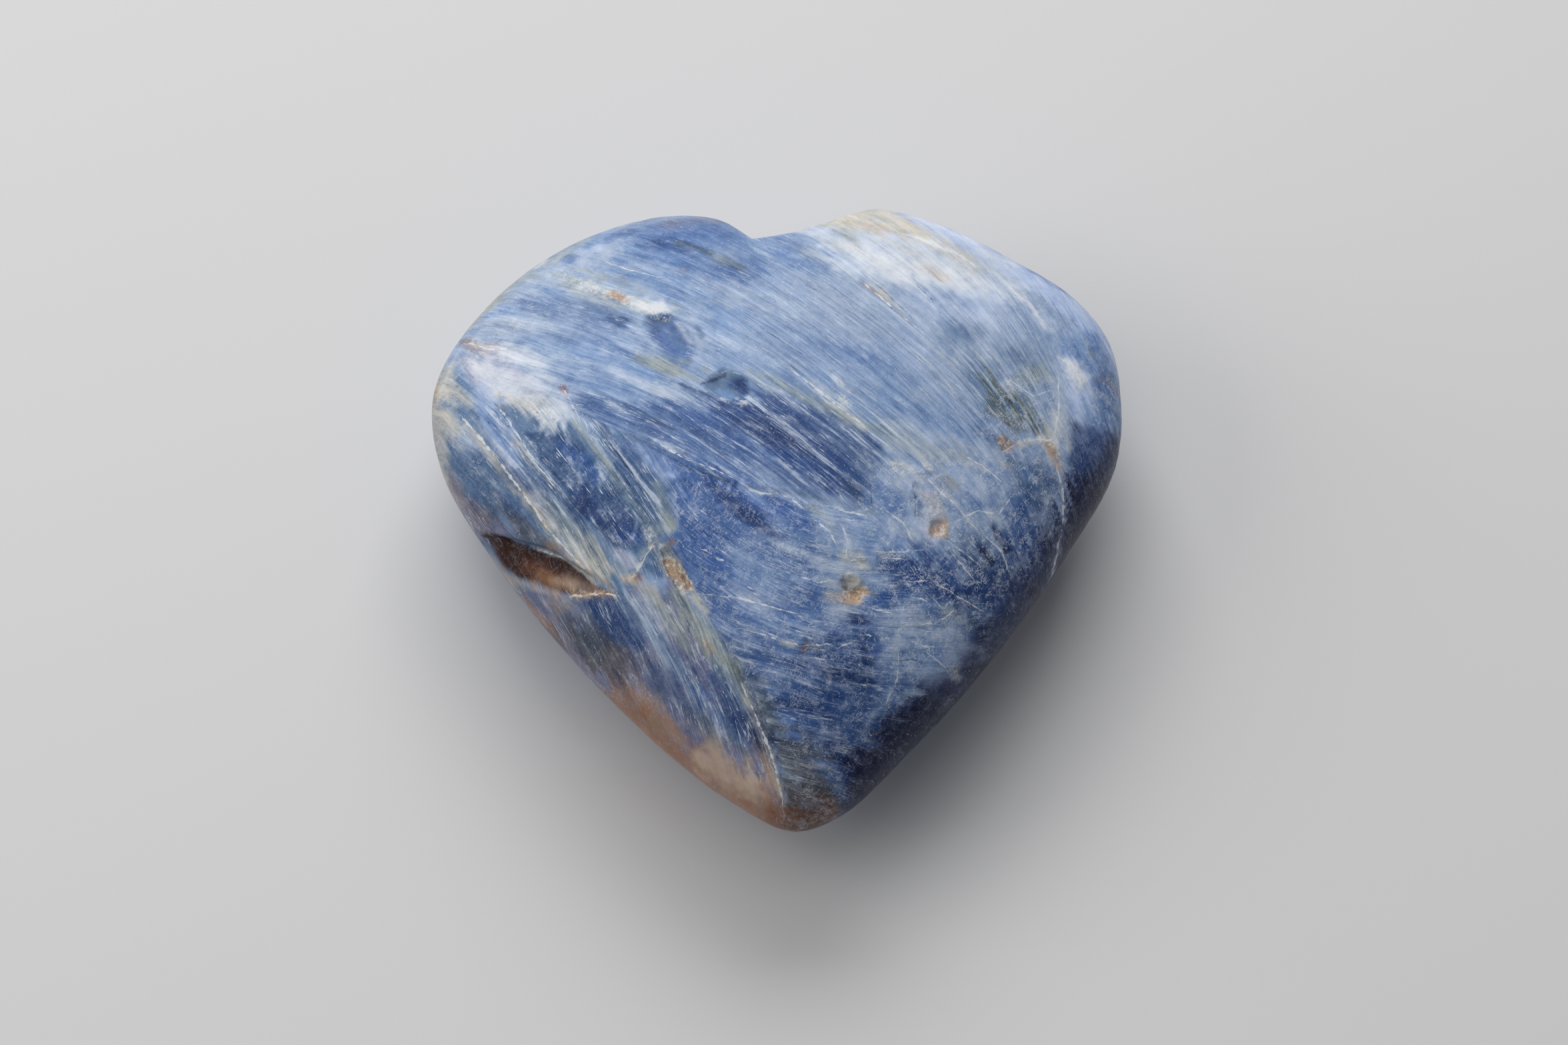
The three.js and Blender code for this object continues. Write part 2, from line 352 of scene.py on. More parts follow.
def masks(text):
    """Masks. Each has a row with its name and base value, then rows of value, edge and shape."""
    out = {}
    for look, *shape in rows(text):
        first, second = look.split()
        if shape:
            out[name][1].append((float(first), float(second), shape_of(shape[0])))
        else:
            name = first
            out[name] = (float(second), [])
    return out


# Later rows lie over earlier ones
# the lower left flank: the stone's own tan, made warmer as a painted warm reflection
# the lower right flank: deep blue stone, darkened further to navy and near-black ink as painted shade
# the pale upper right lobe: whitish stone with a painted sheen over it
GROUNDS = layers("""
sky .55 3: -36 10, -36 30, -18 36, -1 34, -1 24, 2 20, -4 12, -14 6, -20 9
mid .4 2: -12 36, -3 36, -1 24, 4 24, 5 20.5, -2 17, -8 19.5, -11.5 23
haze .75 2.5: -27 19.5, -25 22, -20 26, -14 27, -13 23, -17 21, -22 20
pale .85 2.2: 2.5 25.5, 9 31, 19 28, 25 21, 24 17, 19 16, 14 16.6, 9 18, 5.5 20
haze .4 3: 1 20, 8 17.5, 16 15, 15 10, 8 12, 0 16
haze .55 3: -30 19, -24 20, -17 20, -11 16.4, -4 15.4, -7 12, -12 10.2, -18 9.2, -23 8, -29 11
sky .35 3: -7 8, -1 12.4, 6 11, 12 7, 9 2, 2 5.4
steel .4 2: 14 13.5, 19 14.5, 25 12, 25 5, 19 3, 14 8
mid .75 1.2: -18.5 8.5, -12 7.5, -7 6.5, -2 5.4, 4 3, 8.5 .6, 7.6 -4, 1 -3.2, -4 -1.3, -11 3.3,
-16 5.6
deep .7 1.3: -4.6 6.8, 0 6.3, 4.4 4.6, 8.4 1.4, 7.4 -2.6, 6 -4, 3 -3, 0 -.9, -2 1.5, -4.6 3.8
mid .85 1.4: -11 2.6, -8 1, -4 -1.5, 0 -3.2, 4 -5, 5.5 -9, 8 -12, 9.5 -16, 8 -32, -1.5 -32, -2 -24,
-6 -16, -9.6 -10, -10.2 -3
sky .55 1.6: 5 -5, 7.4 -4, 8.2 -1, 13 -1, 20 .6, 24.2 .5, 21 -3, 17 -6, 14 -8, 8 -8.6, 5.5 -8
deep .5 2.4: 10 -8.6, 14 -8.6, 18 -5, 20.4 -1, 24.2 .6, 25 -4, 26 -9, 17 -17, 14 -12, 10 -10.6
deep .6 2: 1 -14.5, 6 -14.2, 7.4 -17, 6 -21.5, 8 -25, 2 -26, -1.5 -22, -2.6 -19
navy .85 1.3: 25.2 4.6, 28 4, 34 6, 36 -8, 24 -18, 12 -32, 4 -32, 4.4 -26.5, 9 -22, 9 -19.4,
13 -18.6, 18 -13.4, 22.6 -8, 24.6 -3, 25 .5
ink .97 2.2: 26.6 .4, 23.4 -5.2, 19.4 -9.8, 16.2 -13.6, 12.2 -17.2, 8.4 -20.6, 5.4 -22.8, 3 -25.6,
2.6 -36, 36 -36, 36 -2
sky .75 1.5: 25.2 11.5, 28 15.5, 36 18, 36 5, 28 4.2, 25.4 5
steel .85 1.2: -36 14, -29 16, -25 9.8, -21 8.6, -18.6 6.6, -14 4.6, -11.2 2.6, -10 -2, -10.2 -6,
-13 -9, -20 -11, -36 -4
violet .7 1.4: -34 -4, -22 -6, -15 -9, -10.4 -9.6, -8.6 -12.4, -5.6 -17, -3.2 -23.5, -2.4 -29,
-6 -34, -30 -30
tan .9 3: -19 -15.8, -15 -16.4, -12.4 -18.6, -10.4 -20.6, -8.4 -22.6, -6 -24, -3.4 -24.6,
-2.3 -27.4, -1.8 -36, -36 -36, -36 -15
smoke .85 1.6: -3 -21.2, -1.2 -22.4, 1 -24.6, 2.6 -26.6, 3 -29, 3 -36, -2.2 -36, -2.3 -28
sienna .75 1.4: -4.2 -27.4, -1.6 -27.9, 1.6 -27.6, 3 -29, 2.4 -36, -5 -36
""")
# a whitish patch on the upper left: partly pale stone, partly a painted sheen
# painted highlight: periwinkle and milk glare on the right edge, in the next three rows
# painted reflection of sky on the upper right rim
# painted reflection: a periwinkle band of bright sky along the upper right rim
# painted shade along the lower right flank
# painted shade on the lower right flank, in the next two rows
# painted shade on the steep right edge
STROKES = layers("""
# broad tones
haze .55 2.5: -5.4 -8.6 1.2, -2.6 -10.6 1.3, -4 -13.6 1
haze .5 2.2: .2 -6.6 .8, 3.2 -5.8 .9, 4.4 -9 1.1, 4 -11.6 1
haze .6 2.6: 8.4 -1.6 .8, 12.4 -2.4 1.5, 17.4 -2.4 1.3, 20.6 -1.4 .6
haze .5 2.4: 11.6 -6 1, 15.4 -5.6 .8, 18.6 -5.2 .8
haze .5 2: 12.4 -13.6 .9, 8.4 -13.8 .9, 8 -16.4 .8
haze .55 2.5: 14.6 14.4 1, 19.4 13.4 1, 18 10.4 1.1, 20.4 7.2 .8
haze .5 2: -4 21.8 .7, 2.2 23 .9, 5.4 21.6 .9
haze .75 2.2: -30.2 14.4 .9, -28.6 10.2 1.3, -27.6 6.6 .6
haze .5 1.6: 23.6 2.6 .6, 24.2 1 .4
steel .55 2: -24.6 4.4 .8, -22.8 1.4 .9, -20.6 .4 .6
royal .3 2.6: 1.6 11.6 .8, 6.4 9.8 1, 9.4 8.8 .8
deep .35 2.4: -9.4 6.4 .7, -5.2 5 .9, -.6 4.6 .9, .6 1.6 .9
deep .3 2.2: -13.2 2.6 .5, -4.4 -1.6 .8, 3.8 -2.2 .7
royal .3 2.2: -12.2 -5.4 .7, -9 -6.6 .6
deep .35 2.2: -4.4 -17.8 .7, -.4 -18.2 .9, 3.4 -19.6 .8
royal .5 2.2: 8.4 -10.4 .8, 12.4 -10.4 1.2, 17 -11.2 1.2
ink .6 2.2: 15.8 -10.6 .8, 20 -9.2 1, 24 -4.4 .7, 26.4 .6 .5
# upper left lobe
moss .5 1.6: -25.5 21.5 1.2, -21.5 24.5 1.4, -16 26.2 1
milk .6 .4: -20.6 24.2 .3, -19.8 24.9 .3
royal .5 .6: -17.5 24 .7
sky .7 .9: -15.8 25.2 .7, -14.2 26.4 .8
mid .6 .7: -13.6 25.7 .8, -12.2 26.3 .8
haze .7 .8: -15.5 23.2 .9, -13.6 24.4 .8
mid .45 1.6: -10.5 24 1, -5.5 25.6 1, -2.5 24.8 .8
haze .5 1.2: -12.6 27.4 .6, -8 28 .7, -4.4 27.2 .4
violet .5 1: -8.6 26.6 .5, -5 27.2 .6, -2.8 26.4 .4
deep .55 .9: -9.4 24 .6, -7.4 23.2 .8, -5.4 22.2 .5
olive .4 .8: -8 23.7 .35, -5 22 .4, -2.5 20.2 .25
haze .5 .8: -12.2 21.6 .6, -9 20.6 .5, -6 19.4 .4
violet .5 .5: -7.3 20.5 .4
haze .75 1.8: -19 22.6 .9, -16.4 21.2 1.5, -13.2 18.6 1.4, -10.6 16.8 1.2
moss .6 1.6: -18.2 22.2 .6, -15.4 20 1.1, -12.6 17.8 1.1, -9.4 15.8 .6
pale .7 .7: -16.4 20.4 .5, -14.2 19.2 .4, -11.8 17.2 .8, -9.6 16.6 .6
tan .45 .8: -13.8 19 .35, -13.3 18.3 .3
milk .85 .9: -11.6 16.9 .5, -10.2 16.5 .7, -9.2 16.2 .4
tan .5 .6: -13.9 18.6 .4, -13.2 17.8 .35
deep .6 .4: -13.6 15.9 .15, -12.9 15.6 .2
mid .5 1.6: -22 19.6 .4, -19.4 18.6 1, -16.5 17 1.1, -13.6 15.2 .7
deep .45 .9: -14.2 16.2 .4, -13.2 15.4 .4
haze .6 1.2: -24.5 18.6 .9, -21.5 17.2 .8, -18 15.2 .6
sky .55 1.4: -22 14.8 .9, -16 12.2 1.1, -11 9.6 .9
pale .55 .9: -19.5 13 .4, -14 10.8 .6, -10 8 .5
haze .6 1.4: -25.4 18.4 .8, -22.6 17.4 .9
beige .75 .9: -29 18.6 .9, -27.4 20 .9, -25 22.4 .7
moss .6 1: -27.4 18.9 .6, -24.4 22 .5
sienna .45 .7: -27.5 17.7 .5, -26.5 16.1 .6, -25.2 15.3 .5
cream .7 .5: -26.6 16.9 .25, -25.2 15.5 .3, -23.8 15 .2
lilac .85 2: -27.4 15.6 1, -25.2 13.2 2.2, -22.8 10.8 1.8, -20.6 9 1
milk .6 1.6: -26.2 14.4 .7, -25 12.6 1.2, -23.6 11 1
milk .6 1.2: -23.4 14.6 .6, -21.6 12.8 .7, -19.8 10.8 .5
pale .7 1.2: -22.5 13.6 .7, -20.4 11.6 .8, -18.8 9.6 .5
beige .8 1: -31 15.4 1, -30.4 11 1.2, -30.2 6 .8, -28.8 2.6 .5
tan .5 .8: -30.6 14.8 .8, -30.4 12.4 .4
steel .7 .5: -29.4 15.2 .3, -28.8 11.6 .35, -27.2 8.2 .3
sky .75 .5: -28.2 14.4 .35, -27.2 11.4 .4, -25.6 8.2 .3
# crown and upper right
sky .5 1.6: -1.5 22.6 1, 2.4 21.4 1.3, 4.2 19.4 .6
mid .5 .9: 1.4 23.4 .5, 3 22.4 .5
pale .6 .4: -1.3 22.8 .15, .2 21.3 .12
haze .7 1.5: -6 18.6 .9, -2.2 16.8 1.2, 1 14.2 .7
cream .5 .7: -4.6 16.4 .5, -3.4 15.8 .4
cream .85 .9: 2.2 25.3 .5, 4.6 25.6 .8, 7 26.2 1.2, 10 27 1.5, 13 26.6 .9
moss .5 1.2: 6.2 25.4 .7, 8 23.2 .9
cream .9 1.4: 7.4 25.2 1, 12 24.6 1.4, 16 22.8 1, 18.8 20 .6
peach .55 .9: 9.4 24.6 .6, 11.2 23.8 .5
ochre .22 .8: 12 23.6 .4, 13.5 22.5 .4
milk .85 .4: 12.6 23.4 .2, 15 22.5 .22, 17 21.4 .2, 18.6 19.9 .15
milk .6 1.8: 7.6 21.4 .7, 12 19.8 1.6, 16.6 18.2 1.6, 20.4 16.2 .8
peach .4 .9: 13.2 19.6 .4, 15.2 18.2 .5
pale .8 1.1: 4.8 22.6 .5, 6.6 20 .7, 8.8 18.4 .6
periwinkle .9 1.6: 11 30 1.2, 15 26.6 1.5, 20 23.2 1.8, 24.4 19.4 1.9, 28.2 15.2 1.4, 31 11 .7
mid .55 .9: 19.4 24.8 .5, 23 22.4 .6, 26.6 18.6 .5
milk .5 .8: 14 26.6 .5, 18 24 .6, 22 20.6 .6
haze .7 1.2: 19.5 20 .7, 22 17.2 .8, 24.4 13.6 .5
milk .6 .7: 19.3 20.5 .12, 21 18.5 .3, 22.3 16.6 .35, 23.6 15 .25, 24.8 12.8 .12
pale .45 .8: 25 12.6 .1, 25.4 10.8 .25
slate .5 1.2: 16 13.6 .6, 17.6 11.8 .8
slate .55 1: 20 11.8 .5, 21.6 9.9 .6
haze .5 .8: 18.6 14.8 .4, 20.4 12.6 .4, 22.6 9.6 .4
tan .55 .4: 8.2 17.6 .1, 9.5 16.2 .16, 11 14.3 .1, 13 12.2 .04
cream .6 .5: 8.5 17.9 .12, 9.9 16.3 .15, 11.5 14.4 .12
field .45 2: -8 19.6 .5, 0 12 1.2, 6 8.2 1.4, 12 3.2 .8
haze .3 1.4: -6 12.8 .5, -1 11 .7, 5 8 .6, 10.4 4.4 .7, 12.4 .6 .7
moss .35 1.2: -2 9.2 .4, 1 7 .5, 4.2 4.9 .5, 7 3.1 .4
moss .5 .8: -1 8.6 .2, 2 6.2 .35, 5 4.2 .3, 7.2 3 .2
cream .5 .6: 1.2 8.8 .08, 3 7.05 .16, 5 5 .18, 7 3.1 .1
pale .4 .7: 5 7.8 .2, 5.5 6.2 .25, 5.8 5 .15
sky .5 1.2: 9 5.6 .7, 13 3.6 .9, 16.4 1.8 .5
haze .45 1: 13 9.6 .5, 16.6 5.6 .6
olive .6 1.3: 18.4 7.4 .5, 19.4 5.6 1.2, 21.6 4 .9, 23 2.8 .4
slate .6 .7: 18.9 5.4 .5, 20.8 4.9 .5, 22.2 3.7 .5
olive .8 .4: 17.6 7.9 .12, 19.3 5 .2, 20 3.6 .1
haze .7 .35: 18.2 7.9 .08, 20 4.9 .12, 20.6 3.8 .08
olive .85 .4: 18.8 7.6 .14, 20.4 4.9 .22, 21.1 3.6 .1
pale .7 .35: 19.5 7.6 .08, 21.1 4.8 .12, 21.8 3.5 .08
olive .8 .4: 20.2 7 .14, 21.5 4.7 .2, 22.2 3.4 .1
haze .7 .35: 20.8 7 .08, 22.2 4.6 .1, 22.8 3.2 .08
olive .7 .4: 21.4 6.4 .12, 22.9 3.9 .18, 23.4 2.9 .1
slate .5 1: 17 2.7 .5, 18.6 1.6 .5
moss .6 1: 21.4 7.9 .6, 23.6 8.6 1, 24.6 7.6 .5
slate .6 .5: 16.4 10 .1, 17.6 8.2 .25, 18.6 6.4 .15
olive .6 .4: 17.4 10.2 .1, 18.6 8.2 .2, 19.4 6.8 .15
haze .6 .35: 17 9.8 .08, 18.2 7.8 .12, 19 6.4 .08
slate .6 .5: 18.8 10 .1, 20 8.4 .2, 20.8 7.2 .1
smoke .45 .9: 18.6 4.6 .4, 20.4 3.4 .5, 22.2 2.9 .4
haze .7 .7: 20 7 .4, 21.6 6.6 .3, 22.8 5.4 .3
haze .8 1.2: 24.8 8.2 .7, 24.9 5.6 .8, 24.8 3.4 .6, 24.9 1.6 .3
periwinkle .95 1.2: 26 9.4 1, 26.9 8.3 1.3, 26.5 6.6 1.1, 26.2 5.2 .6
milk .65 1: 26 9 .7, 26.8 7.6 .7
milk .95 .8: 25.4 10.2 .4, 26.5 9.1 .9, 27.1 8 .7
mid .7 1.2: 29 13 .8, 29.4 9.8 .6, 29.2 6.4 .9
mauve .5 .7: 28.4 8.6 .4, 29.6 9.2 .4, 30.8 8.6 .3
olive .5 .5: 28.2 11.4 .3
haze .6 .5: 27.3 13.6 .2, 27.8 12.4 .2
haze .5 .6: 27.4 7.8 .3, 28.8 7.3 .3, 30.2 6.8 .2
periwinkle .4 1.4: 28 6.8 .8, 27.4 5 .8, 26.4 2.8 .5
mid .5 1.2: 26.2 2.6 .5, 25.8 .4 .6
royal .5 1.4: 29.6 5.4 .5, 28.4 3.4 .8, 26.6 .8 .7
ink .7 1.4: 30.4 4 .4, 29.4 1.6 .7, 27.8 -1.2 .7
# left: fans, dark blade, hollow surroundings
periwinkle .6 1: -26.4 11.6 .6, -25 8.2 1, -23.4 4.6 1.1, -21.6 1.6 .6
sky .6 .5: -25.6 8.6 .2, -23.8 4.8 .3, -21.4 .6 .25
beige .55 1.2: -22.4 1.4 .6, -20.4 -1.4 1.2, -18.2 -4.6 1.3, -16.2 -7.4 .9
moss .5 1: -21 -.6 .5, -18.8 -3.6 .8, -16.8 -6.4 .7
slate .5 .4: -21.4 .4 .1, -19.2 -2.8 .16, -17.2 -5.8 .12
steel .6 .5: -22.6 3.6 .15, -20.6 .2 .2, -18 -3.2 .16, -15.8 -6.6 .12
pale .65 1.6: -24 10.6 .9, -21.4 9.6 1.2, -19 8.2 1
cream .45 1.2: -23.4 9.2 .6, -21.4 8.8 .8, -19.2 7.8 .6
peach .6 .5: -24.4 10.5 .2, -23.6 10 .15
peach .5 .4: -23.5 8.8 .2
smoke .6 .35: -24.2 9.2 .2, -24 8.7 .12
slate .9 .8: -22.4 6.5, -20.6 6, -18.6 5.4, -17.4 4.4, -16.4 2.6, -15.2 .2, -13.8 -2.4, -12.2 -4.6,
-12 -5.6, -13.4 -6, -14.9 -5.8, -16.6 -4, -18.4 -2, -20 .6, -21.4 3
royal .55 .9: -19.2 4.4 .6, -17.4 2.6 .8, -16.4 .8 .6
deep .8 .9: -18.4 .2 .5, -17 -1.8 1, -15.2 -3.2 .8, -13.6 -4.6 .7
navy .55 .8: -17.6 -1.4 .5, -16.4 -2.6 .5, -14.4 -4.6 .4
pale .5 .5: -18 2.6 .15, -17.2 2 .1
haze .6 .35: -13.6 -4.6 .08, -13.2 -3.4 .1
beige .7 .4: -23.2 5.9 .15, -21.8 3.5 .2, -20.6 1.3 .15, -19.4 -.8 .1
milk .6 .35: -21.3 2.6 .2
milk .65 .4: -18.4 7.9, -19.3 8.2, -20.6 8.3, -21.7 8.1, -20.9 7.2, -21.1 5.9, -20.4 6.9, -20.1 6.1,
-19.9 5.4, -19.3 6.6, -18.9 5.5, -18.3 6.8
ember .6 .35: -18.8 9.7 .2, -18.5 9.1 .15
haze .7 .7: -18.2 7.4 .4, -16.4 4.4 .4, -14.8 1.2 .3, -13.4 -1.6 .2
moss .6 .5: -17.8 6.2 .2, -15.8 2.6 .3, -13.8 -1.4 .25, -12.3 -4.2 .2
slate .85 .8: -15.8 5 .4, -14 2 .8, -12.4 -1 .8, -11.2 -3.6 .4
navy .4 .4: -14.6 3.4 .12, -13 .6 .2, -11.8 -1.8 .12
sky .6 .35: -14.2 2 .1, -12.8 -.8 .12, -11.4 -3.6 .1
periwinkle .85 .7: -12.6 3.2 .3, -11.4 1.8 .7, -10.4 .6 .6, -9.8 0 .3
royal .5 .8: -9.4 .8 .5, -8.2 -.2 .4
moss .8 .6: -11.4 -.4 .3, -10.8 -2.2 .5, -10.2 -4.4 .5
haze .6 .35: -10.2 -1.6 .1, -9.6 -3 .2, -9.6 -4.6 .12
royal .5 .6: -14.6 -4.2 .5, -13 -5.2 .4
lilac .7 .6: -15 -5.8 .35, -13.9 -6.8 .5, -13.2 -7.3 .3
beige .9 .5: -29.9 13.2 .3, -27.4 8.4 .3, -26 5.8 .3, -24 2.6 .28, -22.7 .6 .26, -21.4 -1.4 .26,
-20 -3.6 .22, -18.6 -5.8 .2
lilac .6 .4: -28.4 11.6 .15, -25.2 5.9 .15, -22.6 1.6 .15, -20.2 -2.4 .12
slate .6 1.4: -29.4 8.8 .5, -27.8 5.2 1.3, -26.4 2.2 1.2
violet .7 1.2: -27.6 1.4 .7, -25.6 -.6 .9, -24 -1.9 .8
deep .7 .8: -25.2 1.6 .5, -23.8 -.6 .8, -22.4 -2.6 .6
smoke .7 1.1: -26 1.2 .5, -24.2 -.8 .6, -22.2 -2.6 .7, -20.8 -4 .6
tan .55 .8: -20.8 -4 .3, -19.2 -5.4 .45, -17.8 -6.8 .45
cream .5 .8: -18.6 -5.4 .3, -17 -7.2 .5, -15.8 -8.4 .3
beige .55 .8: -17.4 -4.2 .3, -15.8 -6.6 .45, -14.6 -8 .3
mauve .6 .8: -29.6 4.6 .4, -28.4 2.2 .5, -26.8 0 .4
# rust band and its surroundings
moss .7 .9: -12.8 -6.3 .4, -11.4 -4.6 .5, -10.2 -4.2 .4
beige .6 .7: -13.4 -8.6 .4, -12.2 -9.6 .5, -10.9 -11.2 .5
slate .6 .5: -12.4 -7.6 .5, -11.6 -8.4 .4
cream .75 .6: -11.4 -5.6 .25, -10.9 -6.8 .45, -10.3 -7.9 .35
ochre .85 .6: -10.6 -7.4 .3, -9.9 -8.7 .45, -9.3 -9.8 .4
sienna .55 .4: -9.9 -8.8 .2, -9.4 -9.6 .22
ember .7 .3: -10.3 -5.9 .18
ember .7 .3: -12 -5.9 .15
ember .7 .35: -13.3 -8.1 .2, -13 -8.5 .15
cream .8 .35: -12.05 -5.8 .08, -13.3 -7.5 .14, -13.9 -8.1 .16
ochre .6 .5: -13.8 -8.3 .25, -15.2 -7.9 .2
cream .8 .6: -9.5 -10.2 .35, -8.6 -11.2 .4, -7.8 -12 .3
moss .85 1.1: -10.2 -10.4 .6, -8.8 -12.6 .9, -7.6 -14.6 .8, -6.4 -16.2 .8, -5.2 -17.6 .7,
-4 -19.6 .6, -3 -22 .5
olive .5 1: -7.4 -15.2 .4, -5.4 -17.8 .5, -3.4 -20 .6, -2 -22.6 .6
ochre .5 .5: -8 -14.4 .15, -7.3 -15.5 .2
# lower left flank
deep .85 1.3: -17.8 -9.8 .7, -16 -11.4 1.5, -14.2 -13.2 1
tan .5 1.2: -25.6 -5 .5, -23.4 -7.6 .6, -21 -9.4 .5
mauve .6 1.4: -23.6 -8.4 .6, -21 -11.4 1, -18.4 -13.8 .8
umber .45 1.5: -22.6 -9 .5, -20 -11.2 .8, -17.4 -13.2 .9, -14.4 -15.4 .8
smoke .75 1: -20 -10.6 .5, -18 -12.6 .9, -15.8 -14.4 .7
lilac .5 .9: -19.8 -8.6 .35, -18.2 -10.6 .35
steel .75 1: -14.8 -9.4 .5, -12.8 -12.4 .8, -10.8 -15.4 .8, -9.2 -18.4 .6
moss .7 .8: -12.4 -9.8 .5, -11 -12.4 .7, -9.2 -15.2 .5
haze .5 1.4: -13.6 -10.4 .5, -12 -13.6 .8, -10.2 -16.6 .5
haze .6 .4: -14.2 -9.8 .15, -12.2 -13.4 .2, -10.4 -17 .15
haze .6 .4: -12.8 -10 .12, -10.6 -14.6 .16, -8.6 -19 .12
mid .65 1.1: -10.2 -16.8 .4, -8.6 -18.8 .7, -7 -21.2 .8, -5.4 -23 .5
deep .6 .8: -7.6 -17.2 .4, -6.4 -19.6 .6, -5.4 -22 .5
steel .6 .6: -7.2 -15.8 .3, -5.8 -18.8 .35, -4.6 -21.6 .3
smoke .5 1.2: -10 -19.8 .5, -7.6 -22 .6, -4.8 -23.8 .6
slate .5 1.6: -14.4 -15 .5, -11.8 -17.4 .8, -8.4 -20.6 .7, -5.4 -22.8 .5
cream .75 .4: -5.2 -18.2 .1, -4.2 -20.8 .16, -3.3 -23.2 .2, -2.8 -25.4 .18, -2.4 -27.4 .1
beige .45 .7: -13.2 -19.2 .2, -8.6 -23.6 .25, -5.2 -26.4 .2
beige .5 .8: -5.2 -25 .4, -4 -27.6 .5
peach .3 1.4: -13.8 -17.2 .3, -10.8 -19.8 .4, -7.6 -22.6 .5, -4.4 -25.4 .5
sienna .35 1.2: -15.6 -17.2 .3, -12 -20.8 .4, -7.4 -25.2 .4, -3.6 -28 .4
deep .6 1.2: -4.4 -17 .3, -3.2 -19.4 .5, -2.2 -22.2 .5
smoke .5 1.2: -3.6 -18.4 .3, -2.4 -21.4 .6, -1.8 -24.4 .5
# lower centre
sky .55 .9: -7.6 1.2 .4, -5.4 .4 .4, -2.4 -1.2 .4, .8 -2.8 .3
milk .8 .35: -11.1 3.35 .07, -10.4 2.7 .16, -9.6 2.1 .08
pale .7 .4: -3.9 -1.35 .14, -3.2 -2 .2, -1.5 -2.5 .2, 0 -2.8 .18, 1 -3.7 .1
periwinkle .6 .7: -3.6 -1.2 .35, -1.2 -2 .4, .6 -2.8 .3
deep .95 .8: -7 -.8 .2, -5.8 -2 .6, -4.4 -3.4 .95, -2.9 -4.8 .8, -1.8 -6 .45, -1 -6.8 .2
navy .5 .8: -5.2 -2.8 .25, -3.6 -4.2 .4, -2.4 -5.3 .2
royal .8 1.2: -1.6 -3.7 .6, 0 -4.6 1.1, 1.4 -5.6 .7
royal .6 1.5: -9.2 -2 .5, -7.8 -5.2 1.1, -6.2 -8.4 1.3, -4 -9.6 .8
sky .55 1.2: -4.8 -7.4 .6, -2.6 -10 .8, .6 -10.4 .6
pale .55 .6: -1.8 -6.6 .2, -.6 -7.3 .35, .6 -8 .25
haze .55 .9: 1.8 -2.8 .25, 3.2 -5.4 .45, 4.4 -7.6 .5, 5.4 -9.2 .4
sky .6 .5: 2.2 -4.6 .25, 3.2 -6.6 .3, 3.9 -8.4 .25
moss .55 .6: 1.6 -3.9 .3, 2.9 -4.9 .3, 3.6 -6.4 .2
milk .7 .35: 3.5 -4.1 .1, 5 -4.7 .14, 6.7 -5 .1
milk .6 .35: 2.3 -5.4 .12, 3.3 -6.2 .12
pale .6 .4: 4.5 -6 .15, 4.8 -7.2 .25, 4.6 -8.3 .2
cream .75 .8: 4.2 -8.6 .4, 5.4 -8.9 .5, 6.2 -9.3 .3
haze .6 .9: 2 -9 .3, 3.6 -9.6 .5, 6.4 -10.2 .4
beige .75 .8: 2.8 -11.4 .4, 4 -11.8 .5
peach .6 .9: 3.4 -11.6 .3, 5 -11.9 .9, 6.4 -11.5 .3
ochre .85 .7: 4.2 -11.8 .4, 5.1 -11.8 .6, 5.7 -11.4 .4
rust .7 .5: 4.8 -11.7 .3, 5.3 -12 .25
ochre .6 .5: 5.9 -11.4 .25, 6.9 -11.4 .12
sienna .5 .4: 4.3 -12 .15, 4.3 -11 .15, 5.6 -11.1 .15
chalk .95 .3: 4.95 -10.25 .45, 5.2 -10.55 .4
haze .6 .9: 5 -12.9 .3, 3.4 -13.3 .4, 2.8 -14.3 .3, 1 -14.3 .4, 0 -15 .3
navy .6 .7: 4.8 -13.4 .3, 5.4 -14 .4
royal .75 1: 6.6 -12.4 .5, 8.8 -11.8 .8, 11.6 -10.8 .7
deep .6 1.2: 9 -9.8 .5, 12.2 -9.6 .9, 14.6 -11.4 .8
haze .6 .7: 8.8 -13.8 .3, 10.8 -13.9 .3, 13.2 -12.9 .25
haze .5 .6: 8.8 -14.2 .25, 8.4 -16.4 .3, 7.6 -19 .25
cream .65 .5: -1.4 -15.2 .3, -.4 -15.7 .25
sienna .7 .4: .45 -16.1 .22
smoke .5 .6: .8 -15.5 .3, 1.6 -16 .3
deep .4 1.4: -6.2 -13.8 .4, -4.4 -15.4 .7, -2.6 -17 .5
deep .6 .8: -5.8 -13.3 .2, -4.2 -14.4 .4, -2.6 -15.6 .3
sky .45 1.1: -5 -12.4 .4, -2 -13.4 .6, 1.4 -13.6 .5
sky .5 1.2: -3.4 -17 .4, -1.8 -18 .7, .4 -18.6 .5
navy .55 1.2: 2.6 -17.6 .6, 5.4 -18.4 .8, 5.6 -16.6 .5
navy .5 1.2: -1.6 -20.6 .6, 1.6 -20.8 .7, 2.4 -23.8 .8
haze .6 .8: 7.4 -16.8 .7, 8.6 -15.8 .6, 9.8 -14.8 .5
haze .55 .9: 8.4 -17 .2, 7.9 -18.6 .25, 7.2 -20 .2, 5.9 -21.3 .2, 5.2 -22.4 .2, 4.9 -23.2 .2,
6.2 -23.4 .15
moss .5 .6: 4.6 -22.8 .3, 5.6 -23.2 .3
# lower right
moss .6 1.3: 8.2 3 .5, 10.6 1.4 .9, 13.4 .6 1, 15.4 .2 .6
haze .6 1: 9 3.2 .3, 12 1.9 .5, 15.6 1.2 .5, 18.6 .2 .5
cream .6 .6: 9.6 -.3 .3, 10.4 -.9 .35
cream .65 .4: 11.9 .3 .12, 12.2 -.9 .2, 13 -1.6 .25, 14.2 -2 .15
smoke .5 .8: 13.8 -2.4 .4, 14.8 -3.2 .4
